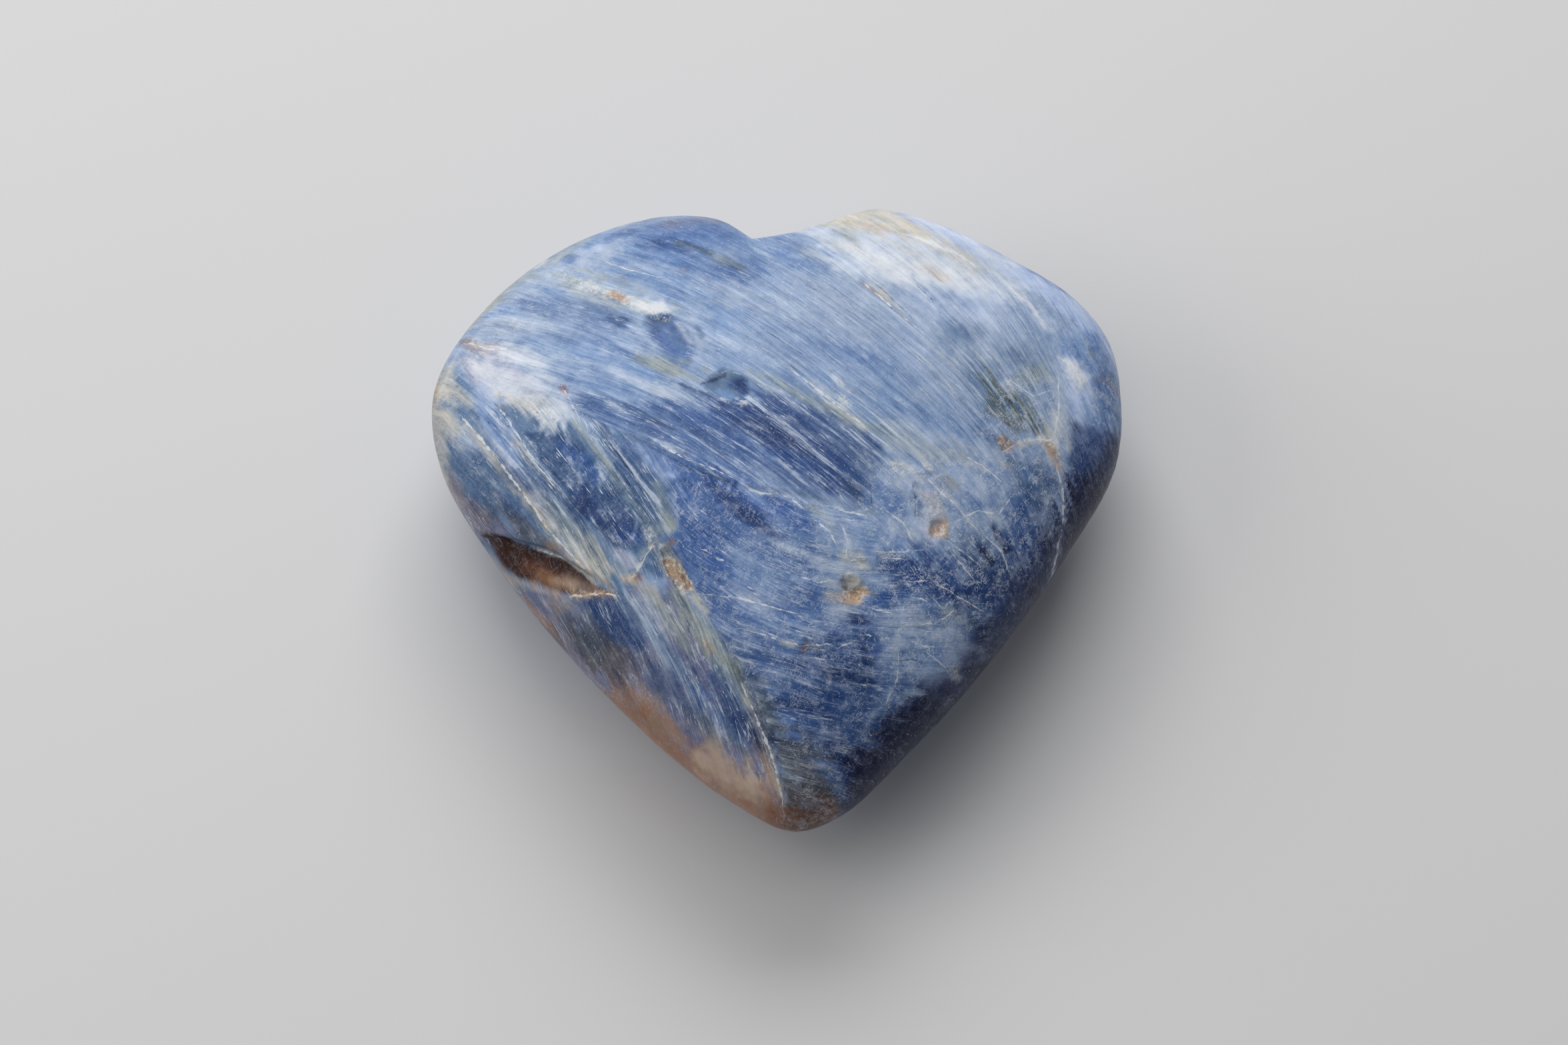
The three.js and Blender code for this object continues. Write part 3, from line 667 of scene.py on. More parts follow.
olive .8 .35: 13.4 -1.7 .12, 14.3 -2 .22, 14.8 -2.3 .12
haze .8 .4: 12.3 -1.9 .12, 13.2 -2.9 .2, 14.4 -3.9 .15, 15.2 -4.9 .08, 16.2 -6 .06
slate .75 .5: 11.2 -2.2 .25, 10.9 -3.3 .35, 11.1 -4.3 .25, 11.3 -5.1 .15
royal .5 .9: 8 -2.6 .5, 9.2 -3.4 .6
royal .5 .8: 15.6 -3.2 .5, 16.4 -3.8 .5
royal .4 .8: 9.4 -4.6 .5, 10.2 -4.9 .3
lilac .7 .9: 12.2 -3.2 .6, 12.6 -4.8 .7, 12.2 -6.6 .5
beige .6 .9: 12.6 -3.6 .5, 13 -5 .6
ochre .9 .5: 12.4 -6.2 .35, 13.1 -5.9 .4, 13.2 -6.5 .3
rust .5 .4: 13.3 -5.4 .15, 12.9 -6.7 .2
tan .5 .5: 13.2 -4.2 .15, 13.3 -5 .15
lilac .5 1: 10.4 -7.2 .5, 12 -7.6 .4
deep .55 1.6: 8.2 -9.8 .8, 10.6 -10 1.2, 12.8 -9.6 .9
deep .5 .7: 9.2 -10.8 .4, 9.8 -10.5 .3
haze .6 .5: 7.2 -8.2 .12, 9.4 -8.3 .25, 11.6 -8 .12
beige .5 .5: 7.8 -8.4 .25, 8.4 -8.5 .2
royal .5 1: 13 -8.6 .6, 13.8 -10.6 .7, 12.4 -11.4 .5
slate .5 1.2: 14.6 -6.8 .4, 16 -7.4 .5, 15.2 -8.2 .4
haze .6 .35: 13.4 -7.2 .1, 14.8 -8 .16, 16.2 -9 .08
haze .6 .35: 13.6 -8 .08, 14.8 -9.3 .14, 15.8 -10.2 .08
tan .35 .5: 15.2 -9.9 .2, 16 -10.3 .15
haze .45 1.4: 15.4 -4.8 .6, 17.2 -6 .6
slate .6 1.4: 20.6 .2 .7, 22 -1.4 1, 21.6 -3.6 1
deep .5 1.6: 21.6 -4.6 .8, 20.6 -7.2 .8
navy .85 .5: 17.7 -5.6 .12, 18.1 -6.5 .3, 18.8 -7.4 .35
ink .4 .4: 18.4 -7 .15, 18.8 -7.4 .2
navy .85 .6: 16.6 -7.8 .35, 17.3 -8.3 .45
navy .5 .8: 16 -9.2 .4, 16.8 -9.6 .3
pale .65 .6: 18.9 -2.4 .15, 18.8 -3.4 .3, 18.2 -4.4 .15
pale .55 .5: 17.3 -4.4 .2, 18.2 -5 .2
milk .5 .4: 20.2 -5.2 .08, 20 -5.9 .12
lilac .6 .6: 16 -.4 .25, 17.6 -.9 .35, 18.8 -.9 .15
peach .4 .5: 18.6 -.2 .15, 19.6 -.6 .15
sky .35 1.4: 19.6 -7.6 .5, 20.6 -8.6 .4
haze .6 .7: 17 -10.4 .2, 18.2 -9.8 .28, 19.2 -9 .12
haze .35 .8: 15 -12.4 .3, 16.2 -11.4 .3, 17 -10.6 .2
tan .8 .6: 19.2 2 .3, 19.7 1.4 .4, 20.3 1.6 .3
smoke .5 .5: 19.4 1.6 .2, 20 2.2 .15
peach .75 .6: 23 2.2 .25, 23.6 1.2 .35, 24.1 0 .2
tan .6 .5: 23.4 1.6 .2, 23.9 .5 .2
cream .7 .5: 20.4 1.4 .12, 21.8 2 .2, 23 2.4 .15
milk .6 .6: 24 4.6 .2, 24.2 3 .3, 24.5 1.4 .2
lilac .7 .5: 24 -.3 .12, 24.4 -1.6 .15, 24.4 -3.2 .18, 24.1 -4.8 .2, 23.6 -6.4 .2, 23 -8 .18,
22.4 -9.4 .14, 22 -10.6 .1
mid .55 1.3: 11.2 -7.6 .5, 14 -8.8 .8, 15.6 -10.4 .6
haze .45 1: 12.2 -7.6 .25, 14.6 -9.2 .3, 16.8 -10.4 .2
sky .6 1.3: 10.4 -11.8 .7, 12.6 -13.6 .9, 11.4 -15.6 .7, 8.6 -14.6 .4
milk .75 .35: 10.9 -14 .08, 12 -13.75 .15, 13.2 -13.1 .12
beige .6 .6: 12.8 -12.6 .3, 13.4 -12.9 .25
olive .6 .5: 14 -13 .4, 14.8 -13.3 .3
navy .6 .7: 14.2 -12.4 .35, 15 -12.2 .3
haze .45 .7: 12 -14.3 .2, 14.6 -15.2 .25, 16.2 -15 .2
beige .6 .7: 13.9 -16.6 .25, 13.3 -17.3 .4
sky .4 1.3: 14.6 -13.8 .5, 13.4 -15.8 .7, 11.2 -17.6 .5
steel .4 1.2: 20.6 -10.6 .4, 18 -13.4 .5, 16.6 -14.8 .4
# crown pits and the middle
haze .6 .8: -8.2 14.9 .2, -7 12.8 .25, -5.8 10.9 .2
slate .75 .45: -6.6 13.8 .22, -6.3 13.1 .25
olive .5 .4: -6.3 9.7 .2, -5.8 9.3 .2
olive .6 .4: -7.2 8.3 .2, -6.9 8.1 .15
tan .3 .5: -9.4 10.9 .2, -7.8 9.6 .2
cream .6 .4: -10 9.9 .1, -8.6 9 .2, -7.6 8.5 .1
moss .85 1: -11.6 11.4 .5, -9.6 10.4 .9, -7.6 8.8 .6, -6.4 8.2 .3
deep .6 .6: -10.2 9.3 .12, -8.2 8 .2, -6.2 6.9 .2, -4.9 5.9 .25
haze .8 .8: -11 8.6 .4, -8.6 7 .45, -6.6 5.8 .3
navy .6 .9: -2.6 4.3 .3, -.4 2.4 .4, 1.6 .6 .35, 3.2 -.9 .2
smoke .35 1: 4.2 -1 .2, 5.3 -2 .5, 6.2 -3 .4
royal .45 1: -9 5.4 .4, -6 3.6 .6, -3.2 1.8 .4
steel .4 1: -15 7.3 .4, -10 5.4 .5, -6 2.4 .5
mid .5 2: -6 1.2 .5, -3.6 -.6 .6
navy .45 .8: -12.6 5.6 .2, -8.4 4 .35, -5 1.2 .2
# last soft glazes over wide areas
haze .5 1.8: -29.4 14 .6, -28.5 10.2 1, -27.9 6.4 .6
cream .5 1.8: -29.6 14.4 .5, -28.9 10.4 .8, -28.9 8.4 .4
pale .22 2.6: -17.6 18.6 .7, -15 17.6 .7
pale .22 2.6: -1.2 18.6 1, 2 20.6 1, 4.4 22.2 .9
pale .22 2.6: 9.4 23 1, 13.4 21.6 1.2
haze .6 3: 14.4 15 1.2, 18.8 14.6 1.5, 20.6 12.2 1.1, 16 9.6 1.2
cream .2 2.6: 3.6 21.6 .8, 7.4 22.6 .8, 12.2 22 1
periwinkle .3 2.2: 15.6 24 .6, 19 21.4 .6
pale .25 2.4: -21.6 14.4 .6, -19 13.6 .6
cream .5 1.6: 24.4 4 .6, 24 1.8 .7, 23.2 .6 .4
haze .4 2: -1.6 -.9 .5, 1 -1.9 .6, 2.4 -2.6 .4
haze .3 2: 3.4 3.2 .5, 5.6 1.6 .6, 7.8 .6 .5
sky .35 2.2: -.6 -5.6 .7, 1.2 -6.8 .6
royal .25 2: 3.6 -6.2 .6, 5.2 -6.2 .5
haze .35 2.2: 7.2 -5.6 .8, 10 -6.4 .8
haze .35 2.4: 7.4 -1.6 .7, 12 -1.8 .9, 17 -2 .9
cream .3 2: 10.6 -1.6 .7, 13.4 -2.4 .7
haze .45 2.4: 9.4 -5.8 .9, 12.8 -6.2 .9
cream .5 1.4: -20.6 -2.6 .4, -18.4 -5.4 .7, -16.2 -7 .6
peach .5 1.4: -22.4 -7.6 .3, -20 -8.8 .4
haze .3 2.4: -4.6 -6.4 .8, -4.4 -10.4 1.2, -4.2 -14 .8
haze .6 2.4: 2.6 -8.8 .9, 4.6 -10.4 1.1
haze .4 2.2: 12.8 -13.6 1.1, 10.2 -14.8 .9, 8.2 -14.2 .6
haze .35 2: -5.6 -13.2 .6, -2.8 -14.2 .8
periwinkle .3 1.8: 11.2 -16.8 .7, 13.4 -16.4 .6, 14.4 -14.8 .5
haze .25 2.2: -12.6 -12.6 .6, -11 -15.4 .6
pale .3 2: 15.4 8.2 .9, 13 10.4 .8
haze .45 1.8: 9.4 1.6 .5, 12.4 .9 .8, 15.6 .6 .5
royal .25 3: -19.4 9.8 .6, -16.4 11.4 .8, -12.4 12.4 .7
sky .25 2.6: -6 14.2 .8, 0 13.6 .9
royal .3 2.2: -9 5.6 .8, -5.6 5 .9, -2.4 4.8 .8, .4 5.4 .6
deep .45 1.8: -2.8 4.2 .7, -1.4 2.8 .9, .8 1.2 .8
slate .5 2: -23 3 .5, -20.8 2.2 .8, -19.4 1 .7
mid .55 2.2: -13.8 3.4 .7, -11.4 2.4 .8, -10.6 .8 .6
deep .5 2: -17.4 -.6 .8, -14.8 -3.2 .9
slate .5 2: -12.6 -.6 .7, -11.4 -3.8 .7, -12 -6.6 .4
royal .6 1.8: -5.6 -1.6 .7, -3.8 -3.4 .9
royal .35 1.6: -1.4 1.2 .4, 2 -.2 .5, 4.8 -1.6 .7
royal .45 2.2: 20.4 -4.6 .6, 20.8 -6.8 .9, 18.6 -9.6 1
navy .4 2: 21.4 -7.4 .6, 19.4 -10.2 .8, 16.4 -11.2 .7
royal .65 2.4: 10.4 -10 .9, 13 -9.8 1, 16 -10.2 .9
smoke .4 2.4: -21.4 -9.6 .6, -19.6 -11 .9, -16.6 -13.4 1
sienna .22 2.2: -22.4 -8.6 .6, -19.8 -11 .8
mauve .35 2: -16.4 -14 .7, -13.6 -15.8 .6
deep .25 2.4: -4.4 -17.8 .8, -.4 -18.2 .9
ink .35 2.2: -4 -21.4 .6, -2.4 -23.6 .6
smoke .5 2.2: -.8 -22.2 .8, .8 -24.6 .8, -.6 -26.2 .6
peach .6 1.8: -9.4 -22.8 .5, -6.2 -25 .7, -3.8 -26 .6
ink .6 1.8: 24.6 -4.6 .8, 25.6 -2.4 .6
ink .5 1.8: 19.2 -12.2 .8, 21.4 -9.6 .8
deep .4 2.6: 9.6 -10 1.2, 13 -10 1.6, 16 -10.4 1.6, 19.4 -9.6 1.4
royal .4 2.6: 20 -4.6 1.2, 20.6 -7.4 1.5
periwinkle .4 2.4: 11.8 -17.4 1.3, 13.6 -15.6 1.4
periwinkle .4 2.6: 15 14.8 1.6, 19 14.6 1.8, 20.6 12.6 1.3
periwinkle .25 2.6: 8.6 -6 1.4, 12.4 -6.2 1.4
periwinkle .25 2.4: 9.4 -2 1.2, 12.6 -2 1.3, 16.6 -2.4 1.2
cream .5 2: -29.6 14 1.2, -28.8 10.4 1.5, -28.8 8.4 .8
pale .3 2.2: 24.8 3.6 1.1, 24 1.2 1.1
slate .3 2.6: -11.8 -1.6 1.6, -15.6 -2 1.6
royal .35 2.2: -5.2 -1.6 1.2, -3.8 -3.2 1.4
slate .3 2.4: -19.8 -9.8 1, -18.2 -11.6 1.2
deep .25 2.4: -20.6 2.2 1.3, -19.4 1.2 1.3
ink .25 2.4: -3.6 -21.8 .9, -1.8 -23.2 1, .4 -23 1
peach .4 2: -8.6 -23.4 1, -5.4 -25.2 1.2
royal .2 3: -17.6 14 1.4, -15 13.6 1.4
deep .35 2.8: 11.4 -10 1.5, 14.6 -12.2 1.8, 17.6 -10.4 1.6
navy .3 2.4: 19.8 -10.2 1.3, 21 -8.2 1.2
""")

# The hollow and the scars, painted last, with crisp edges
# painted highlight: pale marks on the dent's lower rim, in the next two rows
# painted shade: a dark crescent along the dent's upper inner wall
# the hollow's brown fracture, darkest under its upper wall as painted shade
SCARS = layers("""
mid .75 .6: -11.1 15.8, -9 15.7, -8.1 14.7, -7.2 12.7, -6.9 11, -7.8 9.9, -9.1 10.8, -10.3 12.3,
-11.4 14.9
slate .85 .5: -10.8 15.3 .3, -9.2 15.3 .35
navy .4 .5: -10.8 15.2 .15, -10.1 14.4 .15
steel .5 .5: -8.8 13.8 .2, -8 12 .25
royal .5 .6: -9.9 13.6 .3, -8.9 12 .3
deep .5 .4: -10.6 14 .15, -9.6 12.4 .15
moss .6 .6: -8.2 10.8 .25, -7.5 10.5 .25
milk .6 .3: -8.4 14.6 .12, -7.9 13.6 .15, -7.3 12.4 .1
steel .85 .3: -6.8 8.1, -5.8 8.9, -4.7 9.5, -4 9.15, -3.1 8.5, -2.5 7.5, -2.4 6.9, -2.8 6.4,
-3.6 6.1, -4.85 6.4, -5.8 7.1
haze .5 .4: -5.4 8.6 .2, -4.4 8.9 .25
deep .85 .5: -4.2 8 .25, -3.4 7.7 .6, -3 7 .45
navy .5 .3: -3.6 7.8 .2, -2.9 7.2 .25
sky .85 .4: -5.4 7.5 .2, -4.6 7 .4, -3.8 6.5 .25
navy .7 .25: -6.6 8.1 .1, -5.6 8.45 .12, -4.6 8.8 .1
deep .7 .25: -6.2 7.3 .1, -5.2 6.4 .14, -4.2 5.7 .1
milk .8 .25: -5 6.6 .14, -4.7 6.35 .12
milk .8 .25: -3.9 5.95 .08, -3.2 5.85 .16, -2.8 6 .1
deep .85 .6: -6.6 -1.2 .15, -5.2 -2.6 .6, -3.8 -4 .8, -2.4 -5.4 .5, -1.2 -6.6 .15
navy .45 .5: -5.4 -2.6 .2, -3.8 -4.2 .35, -2.4 -5.6 .15
periwinkle .5 .5: -4 -1.6 .2, -2.6 -2.9 .3, -1.2 -4.4 .15
royal .5 .8: -.4 -4.4 .7, 1.2 -5.6 .4
chalk .95 .3: 4.8 -10.2 .45, 5.3 -10.5 .4
ochre .8 .5: 4.2 -11.9 .35, 5.1 -11.8 .6, 5.8 -11.4 .35
sienna .5 .3: 4.3 -12 .15, 4.5 -11.2 .12
lilac .6 .9: 12.2 -3.4 .4, 12.6 -4.8 .6, 12.4 -6.8 .4
ochre .9 .5: 12.4 -6.2 .3, 13.1 -5.9 .45, 13.2 -6.6 .35
rust .6 .4: 13.3 -5.6 .15, 12.9 -6.7 .2
tan .6 .5: 23.3 1.9 .2, 23.9 .7 .2, 24.2 -.4 .1
navy .7 .5: 17.7 -5.6 .12, 18.1 -6.5 .3, 18.8 -7.4 .35
navy .7 .6: 16.6 -7.8 .35, 17.3 -8.3 .45
umber .95 .22: -27.1 -.3, -26 -1, -25 -2.1, -24 -2.95, -23 -3.65, -22 -4.25, -21 -4.85, -20.3 -5.35,
-19.5 -6.05, -18.5 -7.05, -17.5 -7.85, -16.5 -8.6, -15.5 -9.2, -17 -9, -18 -8.7, -19 -8.3, -20 -7.8,
-21 -7.25, -22 -6.4, -23 -5.8, -24 -5, -25 -3.8, -26 -2.1
sienna .6 1: -23.6 -4.4 .2, -22.2 -5.6 .4, -20.8 -6.6 .5, -19.4 -7.5 .4
ochre .45 .8: -22.4 -5.8 .25, -20.8 -6.8 .35, -19.2 -7.7 .3
peach .6 .5: -26.6 -2 .15, -25 -4.4 .2, -22.6 -6.5 .22, -20.6 -7.8 .2
beige .4 .9: -20.8 -6.6 .3, -19.2 -7.4 .5, -17.4 -8.3 .4
ochre .85 .3: -19.3 -8.3 .12, -18 -8.6 .16, -16.8 -8.8 .2, -15.6 -9.2 .12
beige .85 .3: -22.8 -3.7 .1, -21.4 -4.5 .18, -20 -5.4 .2, -19 -6.4 .15, -18 -7.3 .1
cream .6 .3: -20.3 -5 .08, -18.6 -6.6 .14, -17.2 -8 .12
cream .5 .3: -19.6 -4.8 .08, -17.9 -6.6 .12, -16.4 -8.3 .1
tan .5 .8: -27.4 -1.6 .2, -25.8 -4.2 .3, -23.6 -7.2 .4, -21.6 -9.8 .5
""")

# The back, seen in the same plan millimetres
BACK_GROUNDS = layers("""
mid .55 4: -36 -6, -20 14, 4 4, 20 -12, 30 -30, -10 -36
haze .75 3: -30 24, -24 12, -6 8, 2 12, -4 24, -16 32
pale .7 2: -22 18, -12 12, -5 12, -8 18, -16 22
deep .7 2.5: -6 6, 6 1, 16 -8, 12 -14, 0 -8, -10 -1
navy .8 2.5: 20 4, 36 8, 36 -24, 10 -34, 8 -24, 15 -14
tan .7 2.5: -34 -12, -17 -12, -8 -20, -3 -26, -3 -36, -34 -36
steel .6 2: 6 26, 24 20, 28 8, 18 6, 8 14
""")
BACK_STROKES = layers("""
cream .7 1.2: -18 17 .4, -12 13.4 .9, -7 8.6 .4
moss .6 1.4: -24 6 .6, -14 -1 1, -4 -9 .6
pale .6 .9: 2 18 .4, 10 10 .7, 18 1 .4
navy .6 1: -16 5 .4, -6 -2 .8, 4 -10 .4
royal .6 1.4: -2 -14 .8, 6 -18 .8
lilac .6 .8: 14 14 .3, 19 6 .4, 20 -2 .3
rust .7 .7: -13 -6.4 .3, -12 -8 .5, -10.8 -10 .3
ochre .6 .8: 9 -3.4 .4, 10.2 -4.4 .5
periwinkle .6 1.4: -2 24 .6, 4 19 .8
""")

# Thin lines drawn by the shader: points x, y, half width
PALE_LINES = lines("""
-11.3 3.55 .05, -10.4 2.7 .1, -9.6 2.05 .09, -8.4 1.2 .05
-7.9 .95 .04, -6.2 .1 .06, -4.5 -.95 .05
-3.95 -1.3 .06, -3.2 -2 .09, -2.4 -2.42 .08, -1.5 -2.6 .08, -.4 -2.75 .06, .3 -3.2 .08, 1 -3.8 .05
1.1 8.9 .05, 3 7.05 .1, 4 6 .1, 5 5 .08, 7 3.1 .05
8.2 17.6 .05, 9.5 16.2 .09, 11 14.3 .07, 13 12.2 .04
12.6 23.4 .06, 15 22.5 .1, 17 21.4 .1, 18.6 19.9 .05
20.4 19.2 .04, 21.6 17.4 .06, 23 15.8 .04
24 -.3 .06, 24.4 -1.6 .1, 24.4 -3.2 .1, 24.1 -4.8 .1, 23.6 -6.4 .09, 23 -8 .06, 22.5 -9.2 .03
3.5 -4.1 .05, 5 -4.7 .09, 6.7 -5 .05
2.3 -5.3 .05, 3.3 -6.2 .08, 3.7 -7.2 .04
4.5 -6 .05, 4.85 -7.2 .06, 4.6 -8.4 .04
10.7 -14.05 .05, 12 -13.75 .11, 13.2 -13.1 .07, 13.7 -12.6 .04
-5.3 -18 .05, -4.2 -20.8 .09, -3.3 -23.2 .11, -2.8 -25.4 .1, -2.4 -27.4 .06
-11.9 -5.7 .05, -12.6 -6.7 .07, -13.3 -7.6 .08, -13.9 -8.1 .06
-28.1 9.7 .08, -25.6 5.6 .1, -23.1 1.4 .09, -20.6 -3 .09, -18 -6.5 .07
-24.6 9.4 .05, -23.1 6.4 .07, -21.4 3 .07, -20.2 1 .04
-7.6 -10.7 .04, -5 -11.2 .06, -3 -12.05 .08, -1.4 -12.6 .07, .2 -13.15 .05
-4.9 -13.8 .04, -2.4 -14.8 .07, -.2 -15.6 .05
.8 -15.75 .05, 1.7 -15.72 .1, 2.5 -15.66 .05
3.7 -15.85 .05, 4.5 -15.6 .07
5.5 -15.05 .05, 6.1 -14.98 .09
-18.8 9.8 .05, -18.4 8.9 .07, -17.9 7.6 .07, -17.4 6.2 .04
19.2 .9 .04, 20.4 1.6 .07, 22.2 2.15 .09, 23.7 2.2 .08, 24.2 3.4 .07, 24.6 5.2 .08, 24.9 8.4 .06
12.3 -1.9 .05, 13.2 -2.9 .07, 14.4 -3.9 .07, 15.2 -4.9 .05, 16.2 -6 .04
-19.3 -8.3 .06, -18 -8.62 .09, -16.8 -8.85 .1, -15.5 -9.25 .06
-22.6 -3.85 .05, -21.4 -4.55 .08, -20 -5.45 .08, -18.8 -6.6 .06
-26.9 16.9 .06, -25.2 15.5 .08, -23.6 14.9 .05
-5.2 8.95 .04, -4.5 9.1 .06, -3.3 8.7 .05
-14.2 22.6 .04, -12.2 21.2 .05, -9.6 19.8 .04
6.4 -12.7 .04, 6.9 -12.95 .06, 7.6 -12.95 .04
7.2 -8.1 .03, 9.2 -8.2 .06, 11.4 -7.9 .04
8 -8.7 .04, 9.6 -8.75 .05
13.4 -7.1 .04, 14.8 -7.9 .06, 16.2 -8.9 .04
13.6 -7.9 .04, 14.8 -9.2 .06, 15.8 -10.2 .04
9.8 -11.8 .04, 10.8 -11.9 .06, 11.4 -12.2 .04
10 -10.6 .04, 11.2 -10.5 .06
11.6 -11.6 .03, 12.6 -12.6 .05
10.2 -15.5 .05, 10.9 -15.7 .09, 11.6 -15.6 .05
11.2 -16.2 .04, 12.7 -17.1 .06
-7.6 -6.8 .04, -6.9 -7.3 .07
-6.6 -7.6 .05, -6 -8 .08
19.9 -6 .04, 20.2 -5.3 .06
8.4 -4.6 .04, 9.8 -5.6 .07, 10.4 -7 .04
14.6 -5.4 .04, 16.4 -4.4 .07, 18.2 -4.6 .07, 19.4 -3.2 .04
16.8 -6.4 .04, 18.4 -7.6 .07, 19 -9.2 .04
8.6 -16.2 .04, 8.2 -18.4 .07, 7.2 -20.2 .04
12.2 -10.6 .04, 14.2 -11.6 .07, 16.2 -12.4 .04
.6 -10 .04, 2.2 -10.6 .07, 3.4 -10.4 .04
15.8 .2 .04, 17.6 -.8 .07, 18.8 -1.8 .04
20.6 7.4 .04, 22.4 6.2 .07, 23.8 6.8 .04
""")
# Dark lines: cracks, and one line of painted shade at the foot of the hollow's upper wall
# painted shade at the foot of the hollow's upper wall
DARK_LINES = lines("""
8.4 18.6 .03, 10.5 16 .06, 12.2 13.8 .04
-1 13.2 .03, 1 11.4 .05, 3 9.8 .03
1.5 14.2 .04, 2.8 13.1 .04
3.2 17.7 .03, 4.2 16.9 .05
13.2 17.2 .04, 14.2 15.8 .07, 14.9 14.2 .05
-10.3 9.35 .06, -8.2 8.1 .12, -6.3 7 .1, -4.8 5.8 .08
-7.4 .05 .05, -5.2 -1.1 .08, -3.9 -2.3 .05
-23 5.2 .04, -21.6 2.9 .06, -19.1 -.3 .08, -17 -3 .07, -15.3 -5 .04
-11.2 -6.6 .05, -10.9 -8 .06, -10.2 -9.6 .05
4 -10.5 .04, 4.3 -11.3 .07, 4.1 -12.1 .05
-26.6 -.8 .08, -25 -2.2 .12, -23 -3.75 .13, -21 -4.98 .12, -19.5 -6.2 .1, -17.6 -7.9 .06
7.2 -2.3 .04, 7.3 -3.2 .06, 7.2 -4 .04
10.9 -2.2 .05, 11 -3.4 .06, 10.9 -5.2 .04
-11.2 12 .03, -9.8 10.8 .04
-15.2 4.2 .04, -13.7 1.4 .07, -12.4 -1.2 .06, -11.4 -3.6 .04
6.4 24 .03, 8.2 22.6 .04
-9.6 24.1 .04, -7.6 23.3 .06
8.4 -16.9 .04, 9.6 -16.8 .08, 10.6 -17 .04
""")

